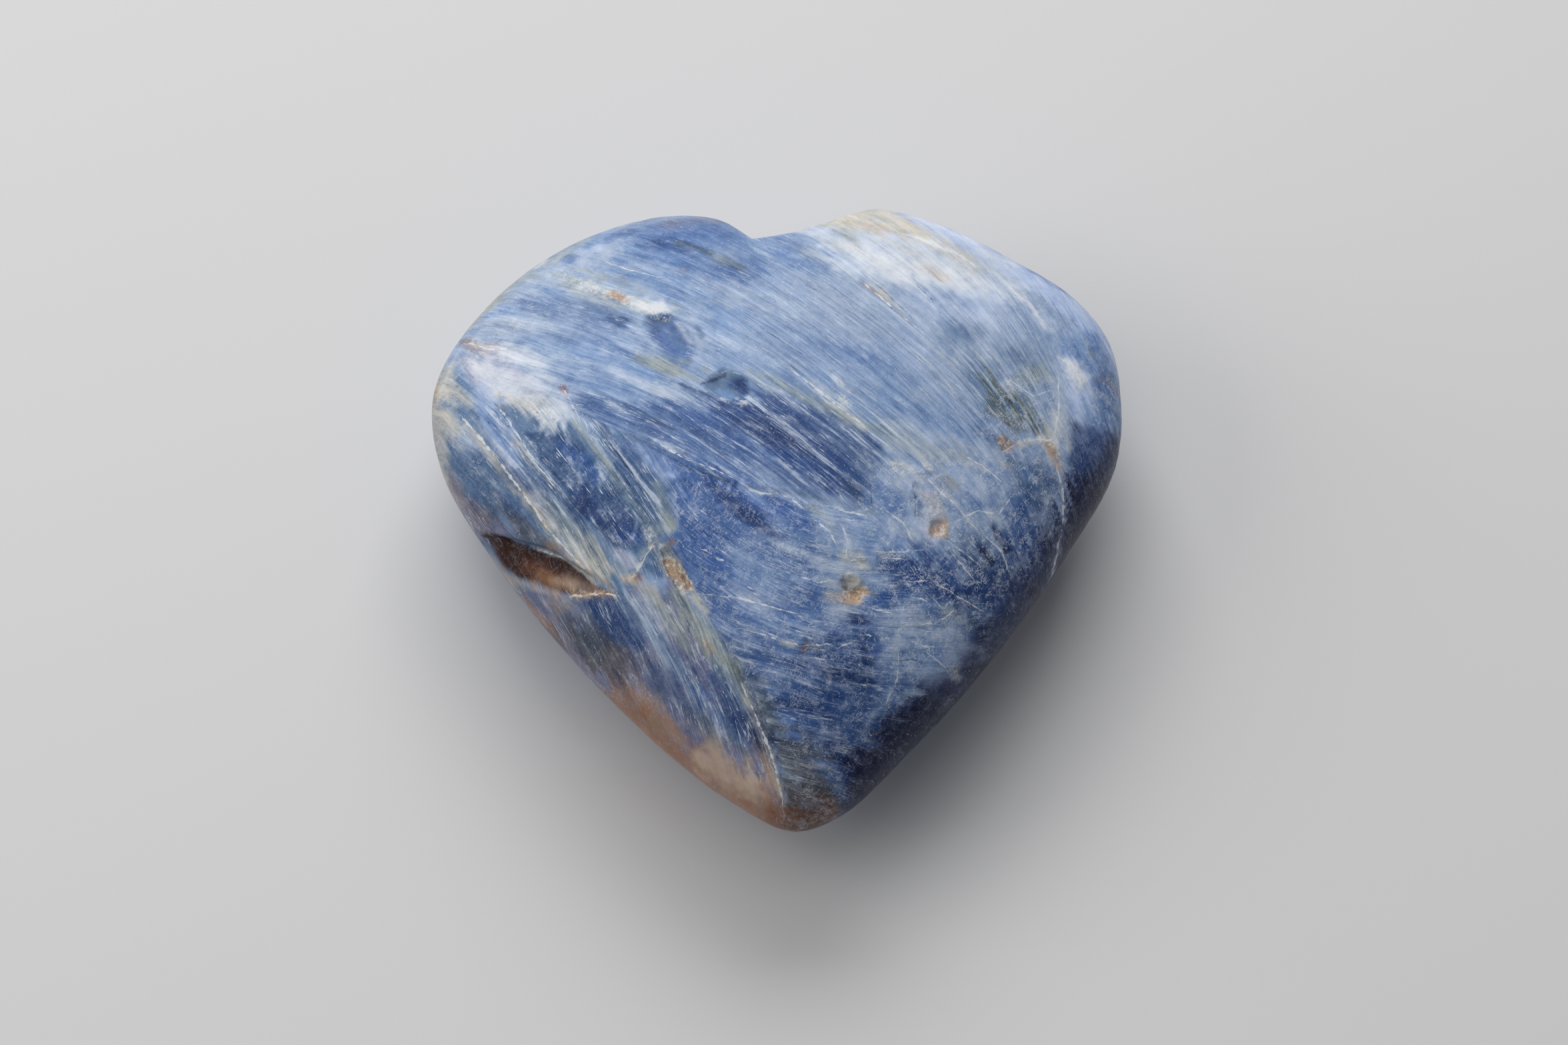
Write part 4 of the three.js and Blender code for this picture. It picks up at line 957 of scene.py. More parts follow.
# Where each look is strong
# where the painted glints along the grain show
MASKS = masks("""
left 0
1 1: left_fibres
low 0
1 1: low_fibres
mottled 0
.9 1.4: mottled_right
.45 1.6: 8 -4, 24 -12, 18 -18, 8 -24, 5 -17, 7 -10
.35 1.4: 24 20, 28 17, 34 14, 30 9, 25.4 10
fibre .62
.4 2.5: -34 24, -18 36, -2 34, -1 22, -10 18, -18 22, -26 20
.35 2.5: 3 24, 10 34, 26 24, 26 17, 18 15.5, 8 18
.95 1.5: -18 9, -8 7, 2 9, 10 4, 9 -2, 6 -4, -4 -1.4, -14 4.6
.85 2: 14 10, 20 10, 24 6, 23 2.6, 17 2.6
.6 .8: broken_blade
1.1 1: -24.6 9 .8, -22.4 4 1.2, -19.8 -1 1.4, -16.4 -6.4 1.2
1.1 1: -17.6 8 .6, -14.6 2.6 1.2, -11.6 -3 1
.25 .9: -26.5 14.5, -21 12, -21.5 9.6, -25 10
.35 1.2: -27 3, -24.2 2.4, -20 -4, -25 -2.4
.9 1.2: -15 -9.6, -9.6 -10.6, -3.2 -23, -6.4 -23.4, -12 -17
.65 1.5: low_fibres
.2 2: dark_flank
.12 1.5: tan_flank
.3 1.6: mottled_right
.1 .5: hollow
.08 .4: middle_dent
.15 .5: upper_dent
.15 .8: dark_blade
net .06
.85 1.6: mottled_right
.12 1: 25.4 5, 28 4.4, 36 6, 36 -12, 24.8 -6, 25.2 1
.6 1.2: 4 -4.6, 8 -4.4, 8 -11, 5 -12, 0 -9, 2 -7
.55 1.4: 8 -12, 14 -11, 15 -16, 12 -18.4, 8 -18
.5 .8: -2 -6.4, 1 -7.4, .6 -8.8, -2 -8
.5 1.6: 20 22, 28 16, 31 9, 25 10, 22 16
.8 1.2: 17 2, 25 3.6, 24.6 8, 20 9
.4 1.2: 1 -13, 5 -12.6, 4 -15, -1 -15.6
.3 1: -14 26, -12 24, -16 20, -20 22
.5 2: low_fibres
1 1.4: 8 -4, 24 -6, 20 -12, 12 -18, 8 -20, 7 -16, 8 -10
.06 2: dark_flank
.5 1: -22 10.5, -18 10, -17.4 6, -20.4 6.4
dash .16
.6 1.6: low_fibres
.8 1.6: -9.4 -2, -4 -5, 0 -8, 4 -9, 7 -13, 8 -19, 3 -21, -3 -17, -8 -11
.95 1: -1 -12, 5 -13, 8 -13, 8.4 -18, 5 -20, 0 -17
.8 1: 9 -10.6, 13 -10.6, 13 -13, 12.4 -18, 9 -16
.9 1: -20 5, -14 0, -12 -5, -16 -4, -20 1
.05 .8: dark_blade
.5 1: -18 8, -8 5, 4 4, 9 -1, 4 -4, -6 0, -14 4
.05 1.2: -36 -14, -16 -16, -2.4 -27, 8 -27, 8 -36, -36 -36
mottle .35
1.2 1: broken_blade
.32 1.5: low_fibres
.55 1.5: mottled_right
.05 1: -5.8 -2 .8, -3.4 -4.4 1.1, -1.4 -6.4 .6
.1 .4: middle_dent
.15 .5: upper_dent
.6 1.5: -30 8, -24 6, -21 -3, -27 -.6
.1 1.5: tan_flank
0 .5: hollow
.12 2: dark_flank
grit 0
.8 .8: -18.2 22.2 .3, -16 20.4 .7, -13.6 18.6 .8, -11 16.6 .9, -9.3 15.7 .4
.9 .6: -11.4 16.8 .5, -9.6 16.2 .5
.7 .6: -22.6 17.6 .5
.7 .5: -24.6 10.4 .4, -23.4 9.6 .3
.9 .5: -21 8 .4, -19.6 6.4 .5
.8 .5: -4.9 6.6 .2, -3.2 5.8 .3
.8 .7: 5.2 7.2 .3, 5.7 5.4 .3
.9 .6: 6.2 -4.2 .4, 7.2 -4.6 .4
.85 .8: 9.2 -.6 .5, 10.4 -1.4 .5, 12.4 -1 .4
.8 .7: 13 -3.6 .5, 12.4 -5.2 .4
1 .4: -11.1 -6.2 .3, -10.5 -7.4 .5, -9.7 -8.9 .6, -9.2 -9.9 .4
1 .4: 4.3 -11.4 .5, 5.6 -11.6 .5
.9 .4: right_pit
.7 .4: -13.9 -8.2 .3, -12.2 -5.9 .2
.7 .5: -1.2 -7.2 .3, .4 -7.9 .3
.8 .5: 4.6 -8.6 .4, 6 -9.2 .3
.7 .6: -12.2 -4.4 .3, -11.8 -5.4 .3
.7 .6: 19.2 1.8 .4, 21.6 2 .3, 24 1.6 .4, 24.2 .2 .2
.6 .6: 20.2 7.2 .4, 20.8 6.8 .3
.7 .5: 2.8 25 .3, 6.2 25.8 .4
.6 .6: 13.4 -17.3 .4, 13.9 -16.6 .3
.6 .5: -19 -8.3 .2, -15.6 -9.2 .2
dull 0
1 .4: -11.1 -6.2 .3, -9.8 -8.8 .6, -9.2 -9.9 .5
1 .4: 4.3 -11.6 .6, 5.8 -11.4 .5
.9 .4: right_pit
.9 .4: hollow
.5 .4: -6 7.9 .4, -3.6 7.6 1
.5 .5: -10.5 15 .5, -8.4 11.6 .7
""")

# ---------------------------------------------------------------- painting
FAR = 1e9                 # mm, further than anything
NONE_NEAR = 9.0           # mm, the distance given where no line or ledge is near
PUSH_OUT = 1.3            # plan mm for each mm below the girdle
EDGE_REACH = 1.5          # how many edge widths past a shape its feather can reach
LINE_REACH = (0.35, 0.7)  # mm from a thin line, where its width fades out

# How far the strokes stray, and the size of one bend, in mm
WANDER = (0.35, 1.7)
SHAKE = (0.12, 0.45)
LEDGE_WOBBLE = (0.12, 0.9)
FLANK_WANDER = (0.8, 0.4)             # share of it on the crown, and growth for each mm below it
SCAR_WANDER = 0.25
LINE_WANDER = 0.3

# Feathered edges: strength, then features per mm along, across and through the fibres
FEATHER_COARSE = (0.6, (0.16, 1.5, 0.8))
FEATHER_FINE = (0.4, (0.4, 3.4, 1.2))
EDGE_FEATHER = 0.85
EDGE_GRAIN = (0.25, 0.6)              # strength, size in mm
SCAR_EDGE = 0.4
TINT_FEATHER = 0.05
TINT_CLOUD = (0.05, 4.0)              # strength, size in mm
BACK_TURN = (4.0, 8.5)    # mm above the floor, where the back's paint gives way to the crown's
BACK_FEATHER = 2.2

CROWN_FACING = (0.05, 0.3)            # upward part of the normal, where the cuts begin
CROWN_HEIGHT = (8.0, 12.0)            # mm, the same
SCAR_GRAIN = 0.8          # mm
HOLLOW_GRAIN = 0.1
SOFT_LEDGES = 0.6         # the two blade ledges are this share of the CAD's depth
LEDGE_WALL = (-0.2, 0.3)  # mm from the upper edge, top and foot of the wall
LEDGE_SLOPE = (-0.1, 1.0)             # shares of the way to the far edge, where the slope runs
LEDGE_HOLD = (-0.3, 1.1)  # shares of that way on which a ledge is measured
LEDGE_ENDS = (0.15, 0.5)  # mm past them, where it fades out
PIT_BOWL = (0.35, 1.05)   # shares of a pit's radius, where its wall runs
PIT_RAGGED = 0.22
RIBS = (0.12, 1.1, 0.6)   # features per mm along, across and through the fibres
RIB_DEPTH = 0.035


def distance_to(p, shape):
    """Signed distance (mm) to an area of corners or a line of points, below zero inside."""
    table = np.asarray(shape, float)
    area = table.shape[1] == 2
    best = np.full(len(p), FAR)
    inside = np.zeros(len(p), bool)
    if not area and len(table) == 1:
        return np.hypot(*(p - table[0, :2]).T) - table[0, 2]
    ends = np.roll(table, -1, axis=0) if area else table[1:]
    for a, b in zip(table, ends):
        along = b[:2] - a[:2]
        t = np.clip(((p - a[:2]) @ along) / max(along @ along, TINY), 0, 1)
        gap = np.hypot(p[:, 0] - a[0] - t * along[0], p[:, 1] - a[1] - t * along[1])
        if area:
            crosses = (a[1] > p[:, 1]) != (b[1] > p[:, 1])
            rise = along[1] if abs(along[1]) > TINY else TINY
            inside ^= crosses & (p[:, 0] < a[0] + (p[:, 1] - a[1]) / rise * along[0])
        else:
            gap = gap - (a[2] + (b[2] - a[2]) * t)
        best = np.minimum(best, gap)
    return np.where(inside, -best, best) if area else best


def close_to(p, table, reach):
    """Which points lie within this reach of the table's box."""
    return np.all((p > table[:, :2].min(0) - reach) & (p < table[:, :2].max(0) + reach), axis=1)


def cover(p, shape, edge, ragged):
    """How much of each point a shape covers, 0 to 1, with a feathered edge."""
    table = np.asarray(shape, float)
    reach = edge * EDGE_REACH + (table[:, 2].max() if table.shape[1] == 3 else 0)
    near = close_to(p, table, reach)
    out = np.zeros(len(p))
    if near.any():
        gap = distance_to(p[near], shape) + edge * ragged[near]
        out[near] = 1 - smooth(-edge / 2, edge / 2, gap)
    return out


def linear(rgb):
    """Linear colour from sRGB."""
    c = np.asarray(rgb, float) / 255
    return np.where(c <= 0.04045, c / 12.92, ((c + 0.055) / 1.055) ** 2.4)


def lay(colour, p, group, ragged):
    """Lays a group of painted shapes over a colour, in order."""
    colour = np.asarray(colour, float)
    for name, strength, edge, shape in group:
        share = (strength * cover(p, shape, edge, ragged))[:, None]
        colour = colour * (1 - share) + np.array(PALETTE[name], float) * share
    return colour


def mask(name, p, ragged):
    """Value of a named mask at each point."""
    base, table = MASKS[name]
    out = np.full(len(p), base)
    for value, edge, shape in table:
        share = cover(p, shape, edge, ragged)
        out = out * (1 - share) + value * share
    return out


def line_field(p, group):
    """Signed distance (mm) to the nearest thin line, and that line's half width there."""
    best = np.full(len(p), NONE_NEAR)
    width = np.zeros(len(p))
    for line in group:
        table = np.asarray(line, float)
        near = close_to(p, table, 1)
        q = p[near]
        for a, b in zip(table[:-1], table[1:]):
            along = b[:2] - a[:2]
            length = np.hypot(*along)
            t = ((q - a[:2]) @ along) / length**2
            side = ((q[:, 0] - a[0]) * along[1] - (q[:, 1] - a[1]) * along[0]) / length
            over = np.maximum(np.maximum(-t, t - 1), 0) * length
            gap = np.hypot(side, over)
            closer = gap < np.abs(best[near])
            half = a[2] + (b[2] - a[2]) * np.clip(t, 0, 1)
            best[near] = np.where(closer, np.where(side < 0, -gap, gap), best[near])
            width[near] = np.where(closer, half, width[near])
    width *= 1 - smooth(*LINE_REACH, np.abs(best))
    return np.clip(best, -1, 1), width


def ledge_depth(p, table):
    """Depth of a ledge: a small wall at its upper edge, then a slope out to its far edge."""
    dense = open_curve(table, LEDGE_STEPS)
    near = close_to(p, dense[:, :4].reshape(-1, 2), 1)
    q = p[near]
    best = np.full(len(q), NONE_NEAR)
    depth = np.zeros(len(q))
    for row in dense:
        a, along = row[:2], row[2:4] - row[:2]
        t = ((q - a) @ along) / max(along @ along, 1e-6)
        held = np.clip(t, *LEDGE_HOLD)
        gap = np.hypot(q[:, 0] - a[0] - held * along[0], q[:, 1] - a[1] - held * along[1])
        span = np.hypot(*along)
        wall = smooth(LEDGE_WALL[0] / span, LEDGE_WALL[1] / span, t)
        value = row[4] * wall * (1 - smooth(*LEDGE_SLOPE, t))
        closer = gap < best
        best = np.where(closer, gap, best)
        depth = np.where(closer, value, depth)
    out = np.zeros(len(p))
    out[near] = depth * (1 - smooth(*LEDGE_ENDS, best))
    return out


def pit_depth(p, pit, rough):
    """Depth of an oval pit with a ragged rim."""
    x, y, length, width, depth, turn = pit
    c, s = math.cos(math.radians(turn)), math.sin(math.radians(turn))
    dx, dy = p[:, 0] - x, p[:, 1] - y
    r = np.hypot((dx * c + dy * s) / (length / 2), (dy * c - dx * s) / (width / 2))
    return depth * (1 - smooth(*PIT_BOWL, r + PIT_RAGGED * rough))


def below_girdle(p):
    """How far each point lies below the girdle, in mm."""
    return np.maximum(GIRDLE_HEIGHT - p[:, 2], 0)


def plan_of(p):
    """Plan place of each point, pushed outwards below the girdle so the rim's marks run on."""
    out = p[:, :2] - CENTRE
    reach = np.maximum(np.hypot(*out.T), 1e-6)
    return CENTRE + out * (1 + PUSH_OUT * below_girdle(p) / reach)[:, None]


def families(plan):
    """Shares of the crown, left and lower fibres at each point."""
    calm = np.zeros(len(plan))
    left, low = mask("left", plan, calm), mask("low", plan, calm)
    return np.clip(1 - left - low, 0, 1), left, low


def stray(p, reach, size, of, *seeds):
    """Offsets in plan from one kind of noise."""
    return reach * np.stack([of(p / size, seed) for seed in seeds], -1)


def paint(p):
    """Everything the material needs at each point of the stone."""
    grain = grain_coordinates(p)
    plan = plan_of(p)
    wander = stray(p, *WANDER, layered, 11, 21) + stray(p, *SHAKE, noise, 31, 32)
    share, growth = FLANK_WANDER
    spot = plan + wander * (share + growth * below_girdle(p)[:, None])
    crown, left, low = families(plan + wander)
    low = np.minimum(low, 1 - left)
    (coarse, coarse_scale), (fine, fine_scale) = FEATHER_COARSE, FEATHER_FINE
    feather = sum(
        w * (coarse * noise(g * coarse_scale, 41 + k) + fine * noise(g * fine_scale, 51 + k))
        for k, (g, w) in enumerate(zip(grain, (crown, left, low)))
    )
    strength, size = EDGE_GRAIN
    ragged = EDGE_FEATHER * feather + strength * noise(p / size, 61)
    front = lay(PALETTE["field"], spot, GROUNDS + STROKES, ragged)
    front = lay(front, plan + wander * SCAR_WANDER, SCARS, ragged * SCAR_EDGE)
    under = lay(PALETTE["sky"], p[:, :2] + wander, BACK_GROUNDS + BACK_STROKES, ragged)
    turn = 1 - smooth(*BACK_TURN, p[:, 2] + BACK_FEATHER * feather)
    colour = front * (1 - turn[:, None]) + under * turn[:, None]
    strength, size = TINT_CLOUD
    tint = 1 + TINT_FEATHER * feather[:, None] + strength * layered(p / size, 71)[:, None]
    looks = {name: mask(name, spot, ragged) * (1 - turn) + MASKS[name][0] * turn
             for name in ("fibre", "net", "dash", "grit", "dull", "mottle")}
    fibrous = 1 - mask("mottled", spot, ragged)
    pale_gap, pale_width = line_field(plan + wander * LINE_WANDER, PALE_LINES)
    dark_gap, dark_width = line_field(plan + wander * LINE_WANDER, DARK_LINES)
    above = 1 - turn
    return {
        "colour": linear(np.clip(colour * tint, 0, 255)),
        "grain_crown": grain[0], "grain_left": grain[1], "grain_low": grain[2],
        "family": np.stack([crown * fibrous, left * fibrous, low * fibrous], -1),
        "looks": np.stack([looks["fibre"], looks["net"], looks["dash"]], -1),
        "finish": np.stack([looks["grit"], looks["dull"], turn], -1),
        "pale_line": np.stack([pale_gap, pale_width * above, looks["mottle"]], -1),
        "dark_line": np.stack([dark_gap, dark_width * above, np.zeros(len(p))], -1),
    }


def relief(p, normal):
    """Depth (mm) cut below the polished surface at each point."""
    plan = p[:, :2]
    on_crown = smooth(*CROWN_FACING, normal[:, 2]) * smooth(*CROWN_HEIGHT, p[:, 2])
    rough = layered(p / SCAR_GRAIN, 81)
    wobble = plan + stray(p, *LEDGE_WOBBLE, noise, 91, 92)
    depth = ledge_depth(wobble, BROWN_HOLLOW) * (1 + HOLLOW_GRAIN * rough)
    for table in (LEFT_BLADE, CENTRE_STEP):
        depth = np.maximum(depth, SOFT_LEDGES * ledge_depth(wobble, table))
    for pit in PITS:
        depth = np.maximum(depth, pit_depth(plan, pit, rough))
    ribs = sum(w * layered(g * RIBS, 101 + k, octaves=2)
               for k, (g, w) in enumerate(zip(grain_coordinates(p), families(plan))))
    return depth * on_crown + RIB_DEPTH * (1 + ribs)


# ---------------------------------------------------------------- material
# Noise: features per mm (along, across and through the fibres, or one number for all three),
# detail, roughness and distortion
FAMILY_EDGE = (0.9, 3)
SWAY = ((0.09, 0.32, 0.3), 2)
FIBRE = ((0.13, 1.5, 0.8), 5, 0.7)
HAIR = ((0.28, 5.5, 1.6), 2, 0.65)
CLOUD = (0.6, 6, 0.68)
DUST = (3.6, 4, 0.7)
PATCH = (0.42, 6, 0.66, 0.3)
BROKEN = (1.3, 4, 0.65)
CROSSED = (0.8, 4, 0.65)
DASH = ((0.65, 6.8, 3.0), 2)
SPECK = (5.0, 2)
CRUMB = (2.3, 4, 0.72)
LINE_WOBBLE = (2.2, 3)
LINE_BREAKS = (1.6, 3)
LINES_DETAIL = (3, 0.6)   # detail and roughness of the hairlines and long wisps
WISP_DETAIL = (4, 0.6, 0.25)          # detail, roughness and distortion of the curling wisps
# Features per mm alone
BLADES = (0.10, 0.75, 0.3)
CURLING_WISPS = (0.9, 1.9)
LONG_WISPS = ((0.35, 2.6, 1.2), (2.4, 0.4, 1.2))
# Hairlines: features per mm of the lines, and of their clusters, where a cluster begins, colour
HAIRLINES = (
    ((0.16, 2.3, 0.9), (0.35, 0.92, 0.7), 0.46, "pale"),
    ((0.16, 3.1, 0.9), (0.35, 1.24, 0.7), 0.5, "deep"),
)
CLUSTER_EDGE = 0.12
# A noise or a mask times the first number, plus the second
FAMILY_LEVEL = (0.6, 0.18)
SWAY_REACH = (1.6, -0.8)  # mm across the fibres
BLADE_TONE = (2.0, -1.0)
DASH_LEVEL = (-0.135, 0.79)
LINE_SWAY = (0.2, -0.1)   # mm

# Tints multiply the paint below
DARK_TINT = (0.32, 0.46, 0.65, 1.0)
LIGHT_TINT = (1.8, 1.65, 1.5, 1.0)
PATCH_TINT = (0.32, 0.50, 0.80, 1.0)
CRUMB_TINT = (0.42, 0.46, 0.54, 1.0)
CRACK_AND_SHADE_TINT = (0.25, 0.25, 0.33, 1.0)

# Where a noise or a mask begins to show, and where it shows in full
SHOWS = {
    "fibre": (0.36, 0.64), "hair": (0.3, 0.7), "cloud": (0.34, 0.66), "dust": (0.3, 0.7),
    "crest": (0.45, 1.1), "patch": (0.5, 0.62), "veil": (0.48, 0.36), "wisp": (0.48, 0.6),
    "dash": (0.0, 0.06), "speck": (0.66, 0.76), "chalk": (0.5, 0.62), "holes": (0.42, 0.34),
    "break": (0.36, 0.64), "line": (-0.05, 0.04),
}
# How strongly each layer covers the paint below
COVERS = {
    "dark": 0.8, "light": 0.6, "crest": 0.5, "hairline": 0.75, "patch": 0.5, "veil": 0.35,
    "wisp": 0.75, "dash": 0.8, "speck": 0.4, "chalk": 0.6, "holes": 0.4, "crack_and_shade": 0.6, "line": 0.72,
}
# Parts of the dark to pale tone, and of the bump
TONE = {"blade": 0.16, "fibre": 0.85, "hair": 0.55, "cloud": 0.95, "dust": 0.15, "dust_floor": 0.05}
BUMP = {"fibre": 0.7, "hair": 0.35, "dust": 0.3, "crumb": 5.0, "crack_and_shade": -1.2, "line": 0.4}
BUMP_DISTANCE = 0.000022
HAIRLINE_WIDTH = 0.022
WISP_WIDTH = 0.02
LONG_WISP_WIDTH = 0.03
NET_FLOOR = 0.12          # share of the wisps that shows outside the mottled right
FIBRE_FLOOR = 0.15        # share of the hairlines that shows where there are no fibres
LEAST_WIDTH = 0.012       # mm, thinner lines are left out
LIGHT_PALE = 0.35         # share of the pale colour in the light side of the tone
CRUMB_WISPS = 0.05        # share of the long wisps in the crumbs
LINE_GROWTH = (-0.2, 1.5)             # a thin line's width, from its breaks to its full places
ROUGHNESS = 0.34
ROUGHER = {"fibre": 0.05, "dull": 0.35, "grit": 0.2}
IOR = 1.5
SPECULAR_LEVEL = 0.12


def rgba(name):
    return (*linear(PALETTE[name]), 1.0)


class Graph:
    """Short calls for the nodes of one material."""

    def __init__(self, material):
        self.nodes = material.node_tree.nodes
        self.links = material.node_tree.links

    def feed(self, socket, value):
        if isinstance(value, bpy.types.NodeSocket):
            self.links.new(value, socket)
        else:
            socket.default_value = value

    def node(self, kind, inputs, output=0, **settings):
        """A new node with these settings and inputs. Gives the output asked for."""
        node = self.nodes.new("ShaderNode" + kind)
        for name, value in settings.items():
            setattr(node, name, value)
        for socket, value in inputs.items():
            self.feed(node.inputs[socket], value)
        return node.outputs[output]

    def attribute(self, name, output="Vector"):
        return self.node("Attribute", {}, output, attribute_name=name)

    def split(self, vector):
        return self.node("SeparateXYZ", {0: vector}, slice(0, 3))

    def join(self, x, y, z):
        return self.node("CombineXYZ", {0: x, 1: y, 2: z})

    def math(self, operation, *values, clamp=False):
        return self.node("Math", dict(enumerate(values)), operation=operation, use_clamp=clamp)

    def times(self, a, b, clamp=False):
        return self.math("MULTIPLY", a, b, clamp=clamp)

    def plus(self, a, b):
        return self.math("ADD", a, b)

    def scaled(self, a, by, plus):
        return self.math("MULTIPLY_ADD", a, by, plus)

    def vector(self, operation, a, b):
        return self.node("VectorMath", {0: a, 1: b}, operation=operation)

    def noise(self, vector, scale, detail=2.0, roughness=0.5, distortion=0.0):
        scale = scale if isinstance(scale, tuple) else (scale,) * 3
        inputs = {"Vector": self.vector("MULTIPLY", vector, scale), "Scale": 1.0, "Detail": detail,
                  "Roughness": roughness, "Distortion": distortion}
        return self.node("TexNoise", inputs, "Fac")

    def remap(self, value, low, high, to_low=0.0, to_high=1.0, kind="SMOOTHSTEP"):
        inputs = dict(enumerate((value, low, high, to_low, to_high)))
        return self.node("MapRange", inputs, interpolation_type=kind)

    def spread(self, value, low, high):
        """From -1 at low to 1 at high, in a straight line."""
        return self.remap(value, low, high, -1.0, 1.0, "LINEAR")

    def ridge(self, value, width):
        """1 where a noise crosses its middle, 0 from this width on."""
        off = self.math("ABSOLUTE", self.math("SUBTRACT", value, 0.5))
        return self.remap(off, 0.0, width, 1.0, 0.0)

    def mix(self, share, a, b, blend="MIX"):
        return self.node("Mix", {0: share, 6: a, 7: b}, 2, data_type="RGBA", blend_type=blend)

    def tint(self, colour, by):
        return self.mix(1.0, colour, by, "MULTIPLY")

    def choose(self, share, a, b):
        return self.node("Mix", {0: share, 4: a, 5: b}, 1, data_type="VECTOR")

    def cover(self, colour, where, strength, over):
        """Lays a palette colour, or a made one, over the paint."""
        over = rgba(over) if isinstance(over, str) else over
        return self.mix(self.times(where, strength), colour, over)


def stone_material():
    """Fibres, clouds, hairlines, wisps, dashes, crumbs and thin lines over the mesh's paint."""
    material = bpy.data.materials.new("kyanite_polished")
    material.use_nodes = True
    g = Graph(material)
    shader = g.nodes["Principled BSDF"]
    times, plus, scaled = g.times, g.plus, g.scaled
    colour = g.attribute("colour", "Color")
    place = g.attribute("place")
    family = g.split(g.attribute("family"))
    fibrous, netted, dashed = g.split(g.attribute("looks"))
    grit, dull, _ = g.split(g.attribute("finish"))
    mottle = g.split(g.attribute("pale_line"))[2]

    # one set of coordinates along the fibres, changing from family to family at a ragged edge
    edge = scaled(g.noise(place, *FAMILY_EDGE), *FAMILY_LEVEL)
    left, low = (g.math("GREATER_THAN", share, edge) for share in family[1:])
    grain = g.choose(left, g.attribute("grain_crown"), g.attribute("grain_left"))
    grain = g.choose(low, grain, g.attribute("grain_low"))
    sway = scaled(g.noise(grain, *SWAY), *SWAY_REACH)
    grain = g.vector("ADD", grain, g.join(0.0, sway, 0.0))

    fibre = g.spread(g.noise(grain, *FIBRE), *SHOWS["fibre"])
    hair = g.spread(g.noise(grain, *HAIR), *SHOWS["hair"])
    blade = g.node("TexVoronoi", {"Vector": g.vector("MULTIPLY", grain, BLADES), "Scale": 1.0}, "Color")
    blade = scaled(g.split(blade)[0], *BLADE_TONE)
    cloud = g.spread(g.noise(place, *CLOUD), *SHOWS["cloud"])
    dust = g.spread(g.noise(place, *DUST), *SHOWS["dust"])

    # fibres: darker and bluer on one side, paler on the other
    tone = scaled(fibre, TONE["fibre"], times(hair, TONE["hair"]))
    tone = times(scaled(blade, TONE["blade"], tone), fibrous)
    tone = plus(tone, times(cloud, times(mottle, TONE["cloud"])))
    tone = plus(tone, times(dust, scaled(mottle, TONE["dust"], TONE["dust_floor"])))
    dark = g.tint(colour, DARK_TINT)
    light = g.mix(LIGHT_PALE, g.tint(colour, LIGHT_TINT), rgba("pale"))
    colour = g.mix(times(tone, -COVERS["dark"], clamp=True), colour, dark)
    colour = g.mix(times(tone, COVERS["light"], clamp=True), colour, light)
    crest = times(g.remap(tone, *SHOWS["crest"]), fibrous)
    colour = g.cover(colour, crest, COVERS["crest"], "pale")

    # crisp pale and dark hairlines between the fibres
    for scale, cluster_scale, start, name in HAIRLINES:
        ridge = g.ridge(g.noise(grain, scale, *LINES_DETAIL), HAIRLINE_WIDTH)
        cluster = g.noise(grain, cluster_scale, *LINES_DETAIL)
        cluster = g.remap(cluster, start, start + CLUSTER_EDGE)
        there = times(times(ridge, cluster), plus(fibrous, FIBRE_FLOOR))
        colour = g.cover(colour, there, COVERS["hairline"], name)

    # the mottled right: pale clouds and fine broken wisps over deep patches
    patch = g.noise(place, *PATCH)
    deep = times(g.remap(patch, *SHOWS["patch"]), netted)
    colour = g.cover(colour, deep, COVERS["patch"], g.tint(colour, PATCH_TINT))
    veil = times(g.remap(patch, *SHOWS["veil"]), netted)
    colour = g.cover(colour, veil, COVERS["veil"], "periwinkle")
    x, y, z = g.split(place)
    falling = g.join(g.math("SUBTRACT", x, y), plus(x, y), z)
    curling = [g.ridge(g.noise(place, scale, *WISP_DETAIL), WISP_WIDTH) for scale in CURLING_WISPS]
    long = [g.ridge(g.noise(falling, scale, *LINES_DETAIL), LONG_WISP_WIDTH)
            for scale in LONG_WISPS]
    broken = g.remap(g.noise(place, *BROKEN), *SHOWS["wisp"])
    crossed = g.remap(g.noise(falling, *CROSSED), *SHOWS["wisp"])
    wisp = times(g.math("MAXIMUM", curling[0], long[0]), broken)
    wisp = g.math("MAXIMUM", wisp, times(g.math("MAXIMUM", curling[1], long[1]), crossed))
    colour = g.cover(colour, times(wisp, plus(netted, NET_FLOOR)), COVERS["wisp"], "pale")

    # painted glints: short white dashes along the grain, and fine specks that fade where the surface is
    # dull
    level = scaled(dashed, *DASH_LEVEL)
    dash = g.remap(g.math("SUBTRACT", g.noise(grain, *DASH), level), *SHOWS["dash"])
    colour = g.cover(colour, dash, COVERS["dash"], "milk")
    speck = g.remap(g.noise(place, *SPECK), *SHOWS["speck"])
    colour = g.cover(colour, speck, scaled(dull, -COVERS["speck"], COVERS["speck"]), "milk")

    # chalky crumbs, with painted shade darkening the hollows between them
    crumb = scaled(long[0], CRUMB_WISPS, g.noise(place, *CRUMB))
    crumb = scaled(long[1], CRUMB_WISPS, crumb)
    chalky = times(grit, g.remap(crumb, *SHOWS["chalk"]))
    colour = g.cover(colour, chalky, COVERS["chalk"], "chalk")
    holes = times(grit, g.remap(crumb, *SHOWS["holes"]))
    colour = g.cover(colour, holes, COVERS["holes"], g.tint(colour, CRUMB_TINT))

